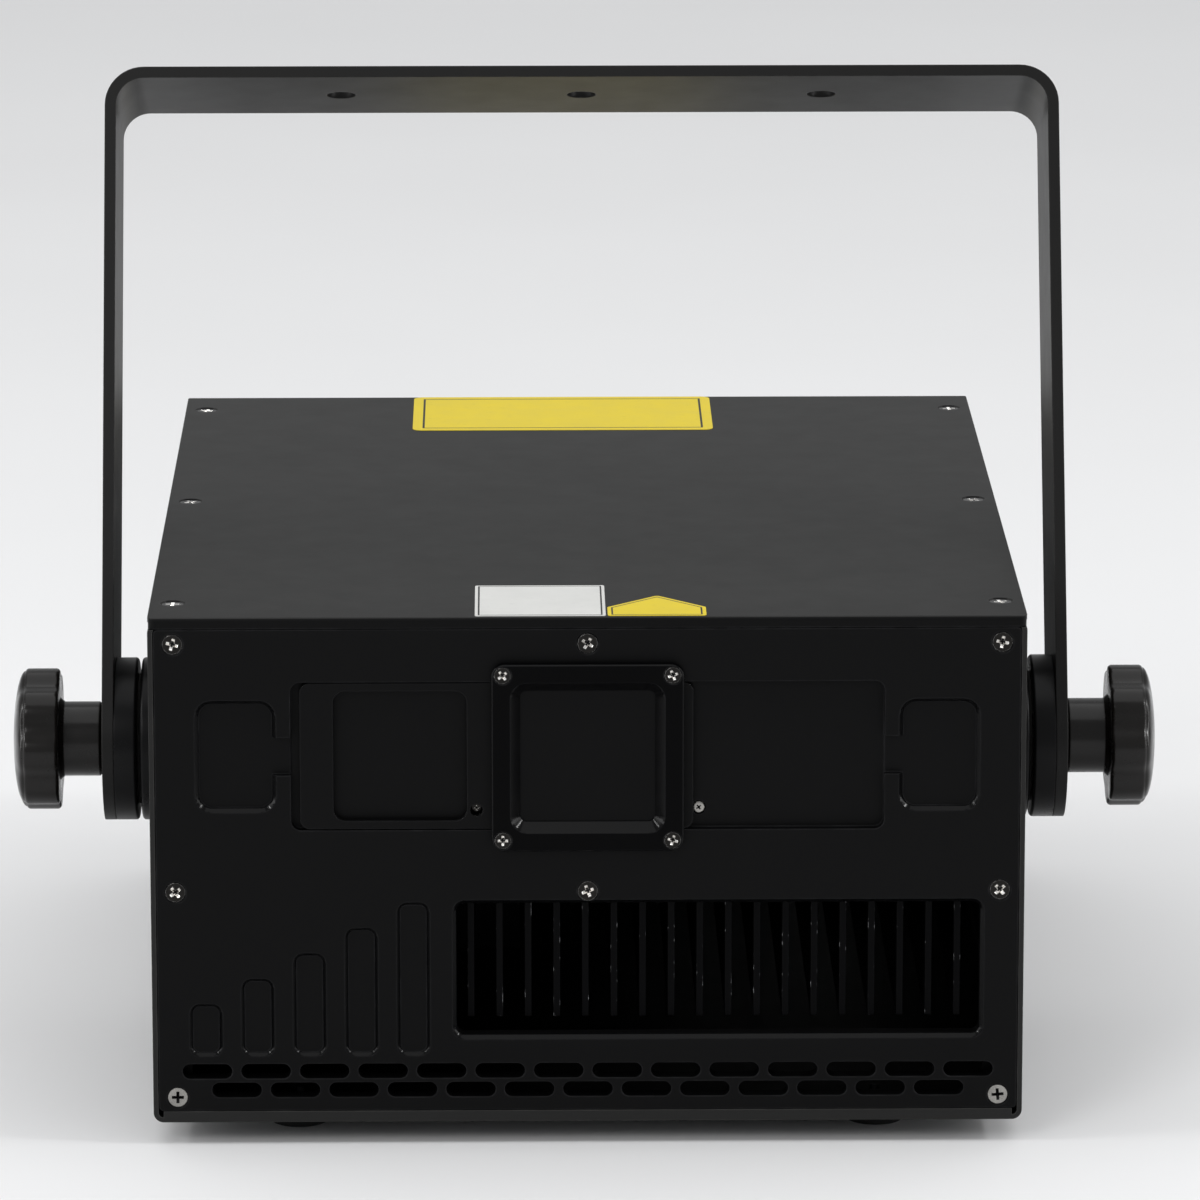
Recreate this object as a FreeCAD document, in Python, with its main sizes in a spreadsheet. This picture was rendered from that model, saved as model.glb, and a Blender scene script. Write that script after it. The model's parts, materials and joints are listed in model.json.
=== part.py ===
"""Laser show projector: a folded steel housing on rubber feet, carried by a tilting yoke.

Pieces are drawn in the housing's own frame: X to the right seen from the front, Y to the back from
mid-depth, Z up from the housing's underside. Each piece is then lifted onto the feet by its placement.
"""
import FreeCAD
import Part
import math
import os
import Sketcher

# Driving sizes in millimetres, with counts, and angles in degrees where the name says so
SIZES = {
    # Housing of folded sheet
    "housing_width": 260.0,
    "housing_depth": 320.0,
    "housing_height": 155.0,
    "sheet": 1.5,
    "bend_radius": 3.0,
    "lid_lip": 13.0,
    "lid_apron": 3.3,
    "lid_bend": 1.2,
    "lid_corner": 2.5,
    "floor_lip": 3.4,
    "panel_flange": 10.0,
    "seam": 0.2,
    "cut_overrun": 2.0,
    # Screws with flat heads, sunk into the lid, the front panel and the bezel
    "countersink_degrees": 90.0,
    "flat_head_sink": 0.3,
    "lid_screw_radius": 2.0,
    "lid_screw_length": 7.0,
    "lid_head_radius": 3.4,
    "panel_screw_radius": 1.5,
    "panel_screw_length": 12.0,
    "panel_head_radius": 3.0,
    "bezel_screw_radius": 1.25,
    "bezel_screw_length": 9.0,
    "bezel_head_radius": 2.5,
    # Screws with pan heads
    "screw_radius": 2.0,
    "screw_length": 6.0,
    "screw_head_radius": 3.55,
    "screw_head_height": 2.4,
    "small_screw_radius": 1.5,
    "small_screw_length": 8.0,
    "small_head_radius": 3.0,
    "small_head_height": 2.0,
    "window_screw_radius": 1.25,
    "window_screw_length": 5.5,
    "window_head_radius": 2.0,
    "window_head_height": 1.2,
    "screw_clearance": 0.1,
    # Places of the housing screws
    "lid_screw_inset": 6.8,
    "lid_screw_setback": 20.0,
    "panel_screw_inset": 7.3,
    "panel_screw_low": 7.7,
    "panel_screw_middle_share": 0.4594,
    "panel_screw_drop": 8.0,
    # Rubber feet
    "foot_height": 7.0,
    "foot_radius": 9.5,
    "foot_tip_radius": 8.5,
    "foot_well_radius": 4.4,
    "foot_well_depth": 4.4,
    "foot_inset": 43.0,
    "foot_setback": 26.0,
    # Front panel and its shutter track
    "panel_thickness": 6.0,
    "panel_corner": 1.2,
    "aperture_height_share": 0.7277,
    "track_margin": 42.0,
    "track_width": 45.2,
    "track_depth": 3.0,
    "track_corner": 3.0,
    "dish_inset": 25.6,
    "dish_width": 21.8,
    "dish_height": 32.0,
    "dish_depth": 2.2,
    "dish_corner": 4.0,
    "dish_bevel": 1.2,
    "channel_height": 11.5,
    "aperture_size": 38.0,
    "aperture_corner": 3.0,
    # Recessed level bars at the lower left
    "bar_count": 5,
    "bar_inset": 16.0,
    "bar_pitch": 15.5,
    "bar_width": 10.0,
    "bar_bottom": 21.4,
    "bar_first_height": 14.4,
    "bar_step": 7.8,
    "bar_depth": 1.2,
    "bar_bevel": 1.0,
    "bar_corner": 2.2,
    # Heatsink window and vent slots
    "window_bar_gap": 7.8,
    "window_inset": 13.0,
    "window_bottom": 26.6,
    "window_lip": 0.6,
    "window_corner": 2.5,
    "window_bevel": 1.2,
    "slot_bridge": 2.7,
    "slot_width": 4.6,
    "slot_margin": 16.25,
    "slot_upper_count": 14,
    "slot_lower_count": 13,
    "slot_upper_height": 15.8,
    "slot_lower_height": 10.0,
    # Aperture bezel
    "bezel_size": 57.0,
    "bezel_thickness": 3.2,
    "bezel_corner": 4.0,
    "bezel_edge": 0.4,
    "bezel_opening": 40.0,
    "bezel_opening_corner": 2.0,
    "bezel_bevel": 3.0,
    "bezel_screw_spacing": 50.4,
    # Sliding shutter
    "slide_cover": 31.4,
    "slide_gap": 0.2,
    "slide_end_gap": 2.6,
    "slide_corner": 3.0,
    "slide_window": 39.4,
    "slide_window_inset": 29.8,
    "slide_window_corner": 3.5,
    "access_hole_radius": 1.8,
    # Glass pane behind the aperture
    "pane_size": 42.0,
    "pane_thickness": 2.0,
    "holder_length": 76.0,
    "holder_width": 47.0,
    "holder_thickness": 4.0,
    "holder_corner": 3.0,
    "window_screw_x": 33.0,
    "window_screw_drop": 16.6,
    "pane_gap": 0.1,
    # Heatsink that is also the optical bench
    "bench_height_share": 0.4387,
    "bench_thickness": 10.0,
    "bench_back": 30.0,
    "fin_count": 18,
    "fin_left_margin": 4.3,
    "fin_right_margin": 6.4,
    "fin_thickness": 2.0,
    "fin_bottom": 30.0,
    "fin_setback": 1.5,
    "rail_leg": 15.0,
    "rail_thickness": 2.0,
    "rail_setback": 12.0,
    # Yoke and its pivots
    "pivot_setback": 94.5,
    "pivot_height_share": 0.611,
    "yoke_tilt_degrees": 22.5,
    "yoke_reach": 206.3,
    "yoke_width": 50.0,
    "yoke_thickness": 3.5,
    "yoke_bend": 12.0,
    "yoke_hole_radius": 4.5,
    "yoke_hole_spacing": 75.0,
    "boss_radius": 25.0,
    "boss_thickness": 6.0,
    "boss_edge": 0.6,
    "spigot_radius": 10.0,
    "spigot_length": 8.0,
    "boss_nut_radius": 14.0,
    "boss_nut_thickness": 5.0,
    "washer_radius": 20.0,
    "washer_thickness": 1.0,
    "disc_thickness": 7.0,
    "running_gap": 0.1,
    "stud_radius": 4.0,
    "stud_clearance": 0.1,
    "arm_hole_radius": 4.5,
    # Clamp knobs
    "knob_gap": 0.3,
    "knob_shank_radius": 11.7,
    "knob_shank_length": 13.4,
    "knob_radius": 22.4,
    "knob_rim": 10.7,
    "knob_dome": 3.7,
    "knob_edge": 1.6,
    "knob_lobes": 8,
    "scallop_radius": 6.5,
    "scallop_depth": 2.0,
    "knob_bore_depth": 20.0,
    # Laser modules on the bench
    "beam_height": 22.0,
    "laser_width": 24.0,
    "laser_length": 46.0,
    "laser_height": 34.0,
    "laser_fin_depth": 4.0,
    "lens_radius": 5.0,
    "lens_length": 6.0,
    "red_laser_inset": 6.0,
    "blue_beam_x": -58.0,
    "green_beam_x": -32.0,
    "side_laser_setback": 20.0,
    "mirror_post_radius": 8.0,
    "mirror_post_height": 16.0,
    "mirror_slot_depth": 6.0,
    "mirror_width": 14.0,
    "mirror_height": 17.0,
    "mirror_thickness": 1.5,
    "mirror_gap": 0.05,
    # Two-axis scanner
    "scan_setback": 42.0,
    "scan_rise": 13.0,
    "scan_motor_radius": 7.0,
    "scan_motor_length": 35.0,
    "scan_motor_gap": 10.0,
    "scan_shaft_radius": 1.5,
    "scan_shaft_seat": 6.0,
    "bearing_clearance": 0.05,
    "scan_plate_length": 12.0,
    "scan_plate_width": 12.0,
    "scan_plate_large": 16.0,
    "scan_plate_thickness": 1.0,
    "scan_wall": 5.0,
    "scan_block_width": 20.0,
    "scan_block_inset": 4.0,
    # Boards and power supply
    "board_thickness": 1.6,
    "standoff_radius": 2.5,
    "standoff_height": 8.0,
    "board_margin": 4.0,
    "driver_inset": 20.0,
    "driver_length": 90.0,
    "driver_depth": 60.0,
    "board_setback": 4.0,
    "scan_board_length": 70.0,
    "scan_board_inset": 18.0,
    "scan_board_depth": 80.0,
    "component_height": 12.0,
    "component_width": 18.0,
    "supply_inset": 10.0,
    "supply_length": 100.0,
    "supply_depth": 86.0,
    "supply_setback": 34.0,
    "supply_height": 44.0,
    "terminal_depth": 14.0,
    "terminal_height": 16.0,
    # Fan behind the rear panel
    "fan_inset": 66.0,
    "fan_height_share": 0.3742,
    "fan_size": 80.0,
    "fan_depth": 25.0,
    "fan_corner": 5.0,
    "fan_bore_radius": 38.0,
    "fan_hole_spacing": 71.5,
    "fan_hub_radius": 18.0,
    "fan_hub_thickness": 4.0,
    "fan_strut_width": 4.0,
    "fan_blades": 7,
    "fan_tip_gap": 2.6,
    "fan_end_gap": 1.0,
    "fan_shaft_radius": 1.5,
    "blade_root": 12.0,
    "blade_tip": 9.0,
    "blade_root_offset": 6.0,
    "blade_tip_offset": 9.0,
    "blade_thickness": 1.2,
    "grille_slots": 9,
    "grille_length": 68.0,
    "grille_pitch": 8.2,
    "grille_width": 4.6,
    # Sockets and controls on the rear panel
    "inlet_inset": 38.0,
    "inlet_height": 34.0,
    "inlet_flange_length": 50.0,
    "inlet_flange_width": 25.0,
    "inlet_flange": 3.0,
    "inlet_body_length": 28.0,
    "inlet_body_width": 21.0,
    "inlet_depth": 22.0,
    "inlet_cavity_length": 24.4,
    "inlet_cavity_width": 16.6,
    "inlet_cavity_depth": 16.0,
    "inlet_corner": 3.0,
    "inlet_pin_width": 2.0,
    "inlet_pin_height": 4.0,
    "inlet_pin_spacing": 7.0,
    "inlet_pin_offset": 2.0,
    "inlet_pin_length": 13.0,
    "switch_spacing": 46.0,
    "switch_flange_length": 23.0,
    "switch_flange_width": 17.0,
    "switch_flange": 2.0,
    "switch_body_length": 19.0,
    "switch_body_width": 13.0,
    "switch_depth": 16.0,
    "rocker_length": 16.4,
    "rocker_width": 10.4,
    "rocker_gap": 0.3,
    "rocker_stand": 2.0,
    "rocker_rise": 1.15,
    "rocker_edge": 3.0,
    "rocker_trim": 0.8,
    "rocker_tilt_degrees": 8.0,
    "rocker_pin_radius": 1.2,
    "rocker_well": 9.0,
    "key_inset": 24.0,
    "key_drop": 31.0,
    "key_bezel_radius": 11.0,
    "key_stand": 5.0,
    "key_edge": 1.5,
    "key_body_radius": 9.5,
    "key_body_length": 24.0,
    "key_barrel_radius": 6.4,
    "key_barrel_length": 19.0,
    "key_clearance": 0.08,
    "key_slot_width": 1.8,
    "key_slot_height": 8.0,
    "key_slot_depth": 9.0,
    "data_inset": 24.0,
    "data_spacing": 34.0,
    "data_drop": 37.0,
    "data_flange_width": 26.0,
    "data_flange_height": 31.0,
    "data_flange": 2.0,
    "data_corner": 3.0,
    "data_body_radius": 11.5,
    "data_depth": 20.0,
    "data_cavity_radius": 9.3,
    "data_input_cavity": 15.0,
    "data_output_cavity": 6.0,
    "data_pin_radius": 1.2,
    "data_pin_circle": 4.2,
    "data_pin_length": 11.0,
    "data_pin_hole_depth": 10.0,
    "signal_inset": 72.0,
    "signal_drop": 31.0,
    "signal_flange_length": 53.0,
    "signal_flange_width": 12.6,
    "signal_flange": 1.0,
    "signal_shell_length": 39.0,
    "signal_shell_narrow": 36.0,
    "signal_shell_width": 8.4,
    "signal_stand": 5.8,
    "signal_depth": 11.0,
    "signal_post_spacing": 47.0,
    "signal_post_radius": 2.4,
    "display_spacing": 54.0,
    "display_drop": 27.0,
    "display_length": 52.0,
    "display_width": 18.0,
    "display_corner": 1.5,
    "display_stand": 0.8,
    "display_rim": 2.0,
    "button_drop": 49.0,
    "button_pitch": 14.0,
    "button_count": 4,
    "button_radius": 3.5,
    "button_stand": 2.4,
    "button_collar_radius": 4.6,
    "button_collar": 1.0,
    "button_stem_radius": 1.5,
    "button_clearance": 0.1,
    "button_travel": 1.2,
    "button_rest_gap": 0.1,
    "key_block_size": 6.0,
    "key_block_height": 3.0,
    "control_board_gap": 7.9,
    "control_board_length": 76.0,
    "control_board_height": 43.0,
    "control_board_drop": 13.0,
}


class Size:
    """A length with its value now and the expression that ties it to the sheet."""

    def __init__(self, value, text):
        self.value = value
        self.text = text

    def __add__(self, other):
        other = lift(other)
        return Size(self.value + other.value, f"({self.text} + {other.text})")

    def __sub__(self, other):
        other = lift(other)
        return Size(self.value - other.value, f"({self.text} - {other.text})")

    def __rsub__(self, other):
        return lift(other) - self

    def __mul__(self, other):
        other = lift(other)
        return Size(self.value * other.value, f"({self.text} * {other.text})")

    def __truediv__(self, other):
        other = lift(other)
        return Size(self.value / other.value, f"({self.text} / {other.text})")

    def __neg__(self):
        return Size(-self.value, f"(-1 * {self.text})")

    __radd__ = __add__
    __rmul__ = __mul__


def lift(number):
    """A plain number as a size, a size as it is."""
    if isinstance(number, Size):
        return number
    return Size(float(number), str(float(number)))


class Sheet:
    """The spreadsheet's cells as sizes."""


doc = FreeCAD.newDocument("laser_show_projector")
sheet = doc.addObject("Spreadsheet::Sheet", "Sizes")
S = Sheet()
for row, (alias, number) in enumerate(SIZES.items(), start=1):
    sheet.set(f"A{row}", alias)
    sheet.set(f"B{row}", str(number))
    sheet.setAlias(f"B{row}", alias)
    setattr(S, alias, Size(float(number), f"Sizes.{alias}"))
doc.recompute()

PARTS = []

# Places that several pieces share
HALF_WIDTH = S.housing_width / 2
FRONT = S.housing_depth / 2
LID_UNDER = S.housing_height - S.sheet
PANEL_BACK = FRONT - S.panel_thickness
BENCH_FRONT = PANEL_BACK - S.sheet - S.seam
BENCH_Z = S.housing_height * S.bench_height_share
BENCH_TOP = BENCH_Z + S.bench_thickness
BEAM_Z = BENCH_TOP + S.beam_height
REAR_INSIDE = FRONT - S.sheet
LID_SCREW_X = HALF_WIDTH - S.lid_screw_inset
PANEL_SCREW_X = HALF_WIDTH - S.panel_screw_inset
PANEL_SCREW_MIDDLE = S.housing_height * S.panel_screw_middle_share
PANEL_SCREW_HIGH = S.housing_height - S.panel_screw_drop
APERTURE_Z = S.housing_height * S.aperture_height_share
TRACK_LENGTH = S.housing_width - S.track_margin * 2
DISH_X = HALF_WIDTH - S.dish_inset
SLIDE_LEFT = S.slide_end_gap - TRACK_LENGTH / 2
WINDOW_SCREW_Z = APERTURE_Z - S.window_screw_drop
BAR_FIRST_X = S.bar_inset - HALF_WIDTH
BARS_RIGHT = BAR_FIRST_X + S.bar_pitch * (S.bar_count - 1) + S.bar_width / 2
WINDOW_LEFT = BARS_RIGHT + S.window_bar_gap
WINDOW_RIGHT = HALF_WIDTH - S.window_inset
SLOT_PITCH = (S.housing_width - S.slot_margin * 2) / (S.slot_upper_count - 1)
FIN_FIRST_X = WINDOW_LEFT + S.fin_left_margin
FIN_PITCH = (WINDOW_RIGHT - S.fin_right_margin - FIN_FIRST_X) / (S.fin_count - 1)
PIVOT_Y = S.pivot_setback - FRONT
PIVOT_Z = S.housing_height * S.pivot_height_share
SCAN_Y = S.scan_setback - FRONT
SIDE_LASER_Y = SCAN_Y + S.side_laser_setback
BOARD_BACK = S.bench_back - S.board_setback
SUPPLY_LEFT = S.supply_inset - HALF_WIDTH
SUPPLY_BACK = FRONT - S.supply_setback
FAN_X = HALF_WIDTH - S.fan_inset
FAN_Z = S.housing_height * S.fan_height_share
INLET_X = S.inlet_inset - HALF_WIDTH
SWITCH_X = INLET_X + S.switch_spacing
KEY_X = HALF_WIDTH - S.key_inset
KEY_Z = S.housing_height - S.key_drop
DATA_INPUT_X = S.data_inset - HALF_WIDTH
DATA_OUTPUT_X = DATA_INPUT_X + S.data_spacing
DATA_Z = S.housing_height - S.data_drop
SIGNAL_X = HALF_WIDTH - S.signal_inset
SIGNAL_Z = S.housing_height - S.signal_drop
DISPLAY_X = DATA_OUTPUT_X + S.display_spacing
DISPLAY_Z = S.housing_height - S.display_drop
BUTTON_Z = S.housing_height - S.button_drop
CONTROL_BOARD_BACK = REAR_INSIDE - S.control_board_gap
CONTROL_BOARD_Y = CONTROL_BOARD_BACK - S.board_thickness
SCREW_HOLE = S.screw_radius + S.screw_clearance
LID_HOLE = S.lid_screw_radius + S.screw_clearance
PANEL_HOLE = S.panel_screw_radius + S.screw_clearance
BEZEL_HOLE = S.bezel_screw_radius + S.screw_clearance
SMALL_HOLE = S.small_screw_radius + S.screw_clearance
ARM_INSIDE = HALF_WIDTH + S.boss_thickness + S.washer_thickness + S.running_gap + S.disc_thickness
ARM_OUTSIDE = ARM_INSIDE + S.yoke_thickness
STUD_HOLE = S.stud_radius + S.stud_clearance

# The origin lies under the middle of the whole depth, on the surface the feet stand on
FRONT_REACH = S.bezel_thickness
REAR_REACH = S.signal_flange + S.signal_stand
DEPTH_SHIFT = (FRONT_REACH - REAR_REACH) / 2

AXES = {
    "X": FreeCAD.Vector(1, 0, 0),
    "Y": FreeCAD.Vector(0, 1, 0),
    "Z": FreeCAD.Vector(0, 0, 1),
}
UPRIGHT = FreeCAD.Rotation()
FACING_FRONT = FreeCAD.Rotation(AXES["X"], 90)
FACING_BACK = FreeCAD.Rotation(AXES["X"], -90)
FACING_DOWN = FreeCAD.Rotation(AXES["X"], 180)


# Helpers that bind and place

def bind(thing, **sizes):
    """Ties properties of an object to sizes."""
    for name, size in sizes.items():
        thing.setExpression(name, lift(size).text)


def move(thing, x, y, z, rotation=UPRIGHT):
    """Turns an object and ties its place to sizes."""
    thing.Placement = FreeCAD.Placement(FreeCAD.Vector(), rotation)
    for axis, size in zip("xyz", (x, y, z)):
        thing.setExpression(f"Placement.Base.{axis}", lift(size).text)


def finish(thing, label, x=0, y=0, z=0, rotation=UPRIGHT):
    """Names a finished piece and lifts it from the housing's frame onto the feet."""
    thing.Label = label
    move(thing, lift(x), DEPTH_SHIFT + y, S.foot_height + z, rotation)
    PARTS.append(thing)
    return thing


# Helpers for solids of one shape

def box(name, low, high):
    """A block between two corners."""
    block = doc.addObject("Part::Box", name)
    spans = [lift(b) - lift(a) for a, b in zip(low, high)]
    bind(block, Length=spans[0], Width=spans[1], Height=spans[2])
    move(block, *low)
    return block


def cylinder(name, axis, radius, start, length):
    """A round bar along an axis, from the middle of one end."""
    bar = doc.addObject("Part::Cylinder", name)
    bind(bar, Radius=radius, Height=length)
    move(bar, *start, FreeCAD.Rotation(AXES["Z"], AXES[axis]))
    return bar


def fuse(name, things):
    """One solid from several."""
    joined = doc.addObject("Part::MultiFuse", name)
    joined.Shapes = things
    joined.Refine = True
    return joined


def cut(name, base, tools):
    """A solid less its tools."""
    result = doc.addObject("Part::Cut", name)
    result.Base = base
    result.Tool = tools[0] if len(tools) == 1 else fuse(name + "_tools", tools)
    return result


def group(label, master, places):
    """Separate copies of one solid, each at a place with a rotation."""
    copies = []
    for x, y, z, rotation in places:
        copy = doc.addObject("App::Link", label + "_copy")
        copy.LinkedObject = master
        move(copy, x, y, z, rotation)
        copies.append(copy)
    holder = doc.addObject("Part::Compound", label)
    holder.Links = copies
    return finish(holder, label)


# Helpers for sketches

def new_body(label):
    return doc.addObject("PartDesign::Body", label)


def origin_feature(body, role):
    return next(feature for feature in body.Origin.OriginFeatures if feature.Role == role)


def new_sketch(body, plane, name, offset=0):
    """A sketch on one of the body's planes, moved along the plane's normal."""
    sketch = body.newObject("Sketcher::SketchObject", name)
    sketch.AttachmentSupport = (origin_feature(body, plane), [""])
    sketch.MapMode = "FlatFace"
    sketch.setExpression("AttachmentOffset.Base.z", lift(offset).text)
    return sketch


def fix(sketch, kind, *where, size):
    """A dimension of the sketch tied to a size."""
    size = lift(size)
    index = sketch.addConstraint(Sketcher.Constraint(kind, *where, size.value))
    sketch.setExpression(f"Constraints[{index}]", size.text)


def flat(x, y):
    return FreeCAD.Vector(x, y, 0)


def add_circle(sketch, x, y, radius):
    x, y, radius = lift(x), lift(y), lift(radius)
    circle = sketch.addGeometry(Part.Circle(flat(x.value, y.value), AXES["Z"], radius.value))
    fix(sketch, "DistanceX", circle, 3, size=x)
    fix(sketch, "DistanceY", circle, 3, size=y)
    fix(sketch, "Radius", circle, size=radius)


def add_profile(sketch, points):
    """Closed outline through fixed points; a third value makes the stretch to that point an arc."""
    spots = [(lift(point[0]), lift(point[1])) for point in points]
    stretches = []
    for index, (point, spot) in enumerate(zip(points, spots)):
        start = flat(spots[index - 1][0].value, spots[index - 1][1].value)
        end = flat(spot[0].value, spot[1].value)
        if len(point) == 2:
            stretches.append((sketch.addGeometry(Part.LineSegment(start, end)), 1, 2))
            continue
        radius = lift(point[2])
        chord = end - start
        across = flat(-chord.y, chord.x).normalize()
        depth = math.sqrt(radius.value ** 2 - (chord.Length / 2) ** 2)
        centre = start + chord / 2 + across * depth
        middle = centre - across * radius.value
        arc = sketch.addGeometry(Part.Arc(start, middle, end))
        stretches.append((arc, 1, 2))
        fix(sketch, "Radius", arc, size=radius)
    for index, (stretch, first, last) in enumerate(stretches):
        following, following_first, _ = stretches[(index + 1) % len(stretches)]
        sketch.addConstraint(Sketcher.Constraint("Coincident", stretch, last, following, following_first))
        fix(sketch, "DistanceX", stretch, last, size=spots[index][0])
        fix(sketch, "DistanceY", stretch, last, size=spots[index][1])


def add_outline(sketch, corners):
    """Closed outline of level and upright lines; a third value rounds that corner."""
    count = len(corners)
    spots = [flat(lift(corner[0]).value, lift(corner[1]).value) for corner in corners]
    radii = [lift(corner[2]) if len(corner) > 2 else None for corner in corners]
    ways = [(spots[(index + 1) % count] - spots[index]).normalize() for index in range(count)]
    lines = []
    for index in range(count):
        after = (index + 1) % count
        start = spots[index] + ways[index] * (radii[index].value if radii[index] else 0)
        end = spots[after] - ways[index] * (radii[after].value if radii[after] else 0)
        line = sketch.addGeometry(Part.LineSegment(start, end))
        level = abs(ways[index].x) > abs(ways[index].y)
        sketch.addConstraint(Sketcher.Constraint("Horizontal" if level else "Vertical", line))
        fix(sketch, "DistanceY" if level else "DistanceX", line, 1, size=corners[index][1 if level else 0])
        lines.append(line)
    for index in range(count):
        before, after = lines[index - 1], lines[index]
        if radii[index] is None:
            sketch.addConstraint(Sketcher.Constraint("Coincident", before, 2, after, 1))
            continue
        arrive, leave = ways[index - 1], ways[index]
        radius = radii[index].value
        centre = spots[index] + (leave - arrive) * radius
        left_turn = arrive.x * leave.y > arrive.y * leave.x
        first, second = (-leave, arrive) if left_turn else (arrive, -leave)
        circle = Part.Circle(centre, AXES["Z"], radius)
        begin, stop = math.atan2(first.y, first.x), math.atan2(second.y, second.x)
        arc = sketch.addGeometry(Part.ArcOfCircle(circle, begin, stop))
        entry, exit_point = (1, 2) if left_turn else (2, 1)
        sketch.addConstraint(Sketcher.Constraint("Tangent", before, 2, arc, entry))
        sketch.addConstraint(Sketcher.Constraint("Tangent", arc, exit_point, after, 1))
        fix(sketch, "Radius", arc, size=radii[index])


def rectangle(left, low, right, high, radius=None):
    """Corners of a rectangle, rounded if it has a radius."""
    corners = [(left, low), (right, low), (right, high), (left, high)]
    if radius is None:
        return corners
    return [corner + (radius,) for corner in corners]


def centred(x, y, width, height, radius=None):
    """Corners of a rectangle about its middle."""
    return rectangle(x - width / 2, y - height / 2, x + width / 2, y + height / 2, radius)


def add_slot(sketch, x, y, length, width):
    """A level slot with round ends."""
    x, y, length, width = lift(x), lift(y), lift(length), lift(width)
    reach = (length - width) / 2
    radius = width / 2
    r, left, right = radius.value, (x - reach).value, (x + reach).value
    upper = sketch.addGeometry(Part.LineSegment(flat(left, y.value + r), flat(right, y.value + r)))
    lower = sketch.addGeometry(Part.LineSegment(flat(left, y.value - r), flat(right, y.value - r)))
    quarter = math.pi / 2
    turn = Part.ArcOfCircle(Part.Circle(flat(left, y.value), AXES["Z"], r), quarter, 3 * quarter)
    end_left = sketch.addGeometry(turn)
    turn = Part.ArcOfCircle(Part.Circle(flat(right, y.value), AXES["Z"], r), -quarter, quarter)
    end_right = sketch.addGeometry(turn)
    sketch.addConstraint(Sketcher.Constraint("Tangent", upper, 1, end_left, 1))
    sketch.addConstraint(Sketcher.Constraint("Tangent", end_left, 2, lower, 1))
    sketch.addConstraint(Sketcher.Constraint("Tangent", lower, 2, end_right, 1))
    sketch.addConstraint(Sketcher.Constraint("Tangent", end_right, 2, upper, 2))
    sketch.addConstraint(Sketcher.Constraint("Horizontal", upper))
    sketch.addConstraint(Sketcher.Constraint("Equal", end_left, end_right))
    fix(sketch, "Radius", end_left, size=radius)
    fix(sketch, "DistanceX", end_left, 3, size=x - reach)
    fix(sketch, "DistanceY", end_left, 3, size=y)
    fix(sketch, "DistanceX", end_right, 3, size=x + reach)


# Helpers for features

def pad(body, sketch, length, both_ways=False, reverse=False):
    feature = body.newObject("PartDesign::Pad", "Pad")
    feature.Profile = sketch
    feature.SideType = "Symmetric" if both_ways else "One side"
    feature.Reversed = reverse
    bind(feature, Length=length)
    return feature


def pocket(body, sketch, depth, both_ways=False, reverse=False):
    feature = body.newObject("PartDesign::Pocket", "Pocket")
    feature.Profile = sketch
    feature.SideType = "Symmetric" if both_ways else "One side"
    feature.Reversed = reverse
    bind(feature, Length=depth)
    return feature


def revolve(body, sketch, axis="H_Axis"):
    feature = body.newObject("PartDesign::Revolution", "Revolution")
    feature.Profile = sketch
    feature.ReferenceAxis = (sketch, [axis])
    return feature


def repeat_along(body, feature, axis, pitch, count):
    """Copies of a feature in a row; the last is the body's tip."""
    pattern = body.newObject("PartDesign::LinearPattern", "LinearPattern")
    pattern.Originals = [feature]
    pattern.Direction = (origin_feature(body, axis), [""])
    bind(pattern, Length=pitch * (count - 1), Occurrences=count)
    body.Tip = pattern
    return pattern


def repeat_round(body, feature, axis, count):
    """Copies of a feature round an axis; the last is the body's tip."""
    pattern = body.newObject("PartDesign::PolarPattern", "PolarPattern")
    pattern.Originals = [feature]
    pattern.Axis = (origin_feature(body, axis), [""])
    bind(pattern, Occurrences=count)
    body.Tip = pattern
    return pattern


def countersink(body, sketch, hole, head_radius, depth):
    """Drills the sketch's circles, with a conical mouth for a flat head that lies just below the face."""
    doc.recompute()
    feature = body.newObject("PartDesign::Hole", "Hole")
    feature.Profile = sketch
    feature.DepthType = "Dimension"
    feature.DrillPoint = "Flat"
    feature.HoleCutType = "Countersink"
    feature.HoleCutCustomValues = True
    mouth = head_radius + S.flat_head_sink + S.screw_clearance
    bind(feature, Diameter=hole * 2, Depth=depth)
    bind(feature, HoleCutDiameter=mouth * 2, HoleCutCountersinkAngle=S.countersink_degrees)
    return feature


def bevel(body, feature, size, choose):
    """Chamfers the edges of the feature that a test picks out."""
    doc.recompute()
    names = []
    for index, edge in enumerate(feature.Shape.Edges, start=1):
        if choose(edge):
            names.append(f"Edge{index}")
    chamfer = body.newObject("PartDesign::Chamfer", "Chamfer")
    chamfer.Base = (feature, names)
    bind(chamfer, Size=size)
    return chamfer


def edge_in_window(axis_name, level, low, high):
    """A test for edges that lie in one plane, inside a window of the other two directions."""
    def choose(edge):
        box_of_edge = edge.BoundBox
        nearest = {"y": (box_of_edge.YMin, box_of_edge.YMax), "x": (box_of_edge.XMin, box_of_edge.XMax)}
        near, far = nearest[axis_name]
        if abs(near - level) > TOUCH or abs(far - level) > TOUCH:
            return False
        middle = edge.CenterOfMass
        across = middle.x if axis_name == "y" else middle.y
        return low[0] < across < high[0] and low[1] < middle.z < high[1]
    return choose


# How near two numbers are that mean the same place
TOUCH = 0.001


def bevel_window(body, feature, size, corners):
    """Chamfers the front edges of a cut-out in the front panel."""
    margin = S.cut_overrun.value / 2
    low = [lift(corners[0][axis]).value - margin for axis in range(2)]
    high = [lift(corners[2][axis]).value + margin for axis in range(2)]
    return bevel(body, feature, size, edge_in_window("y", -FRONT.value, low, high))


# Screws, drawn upright: pan heads stand on the origin, flat heads lie below it

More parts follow.
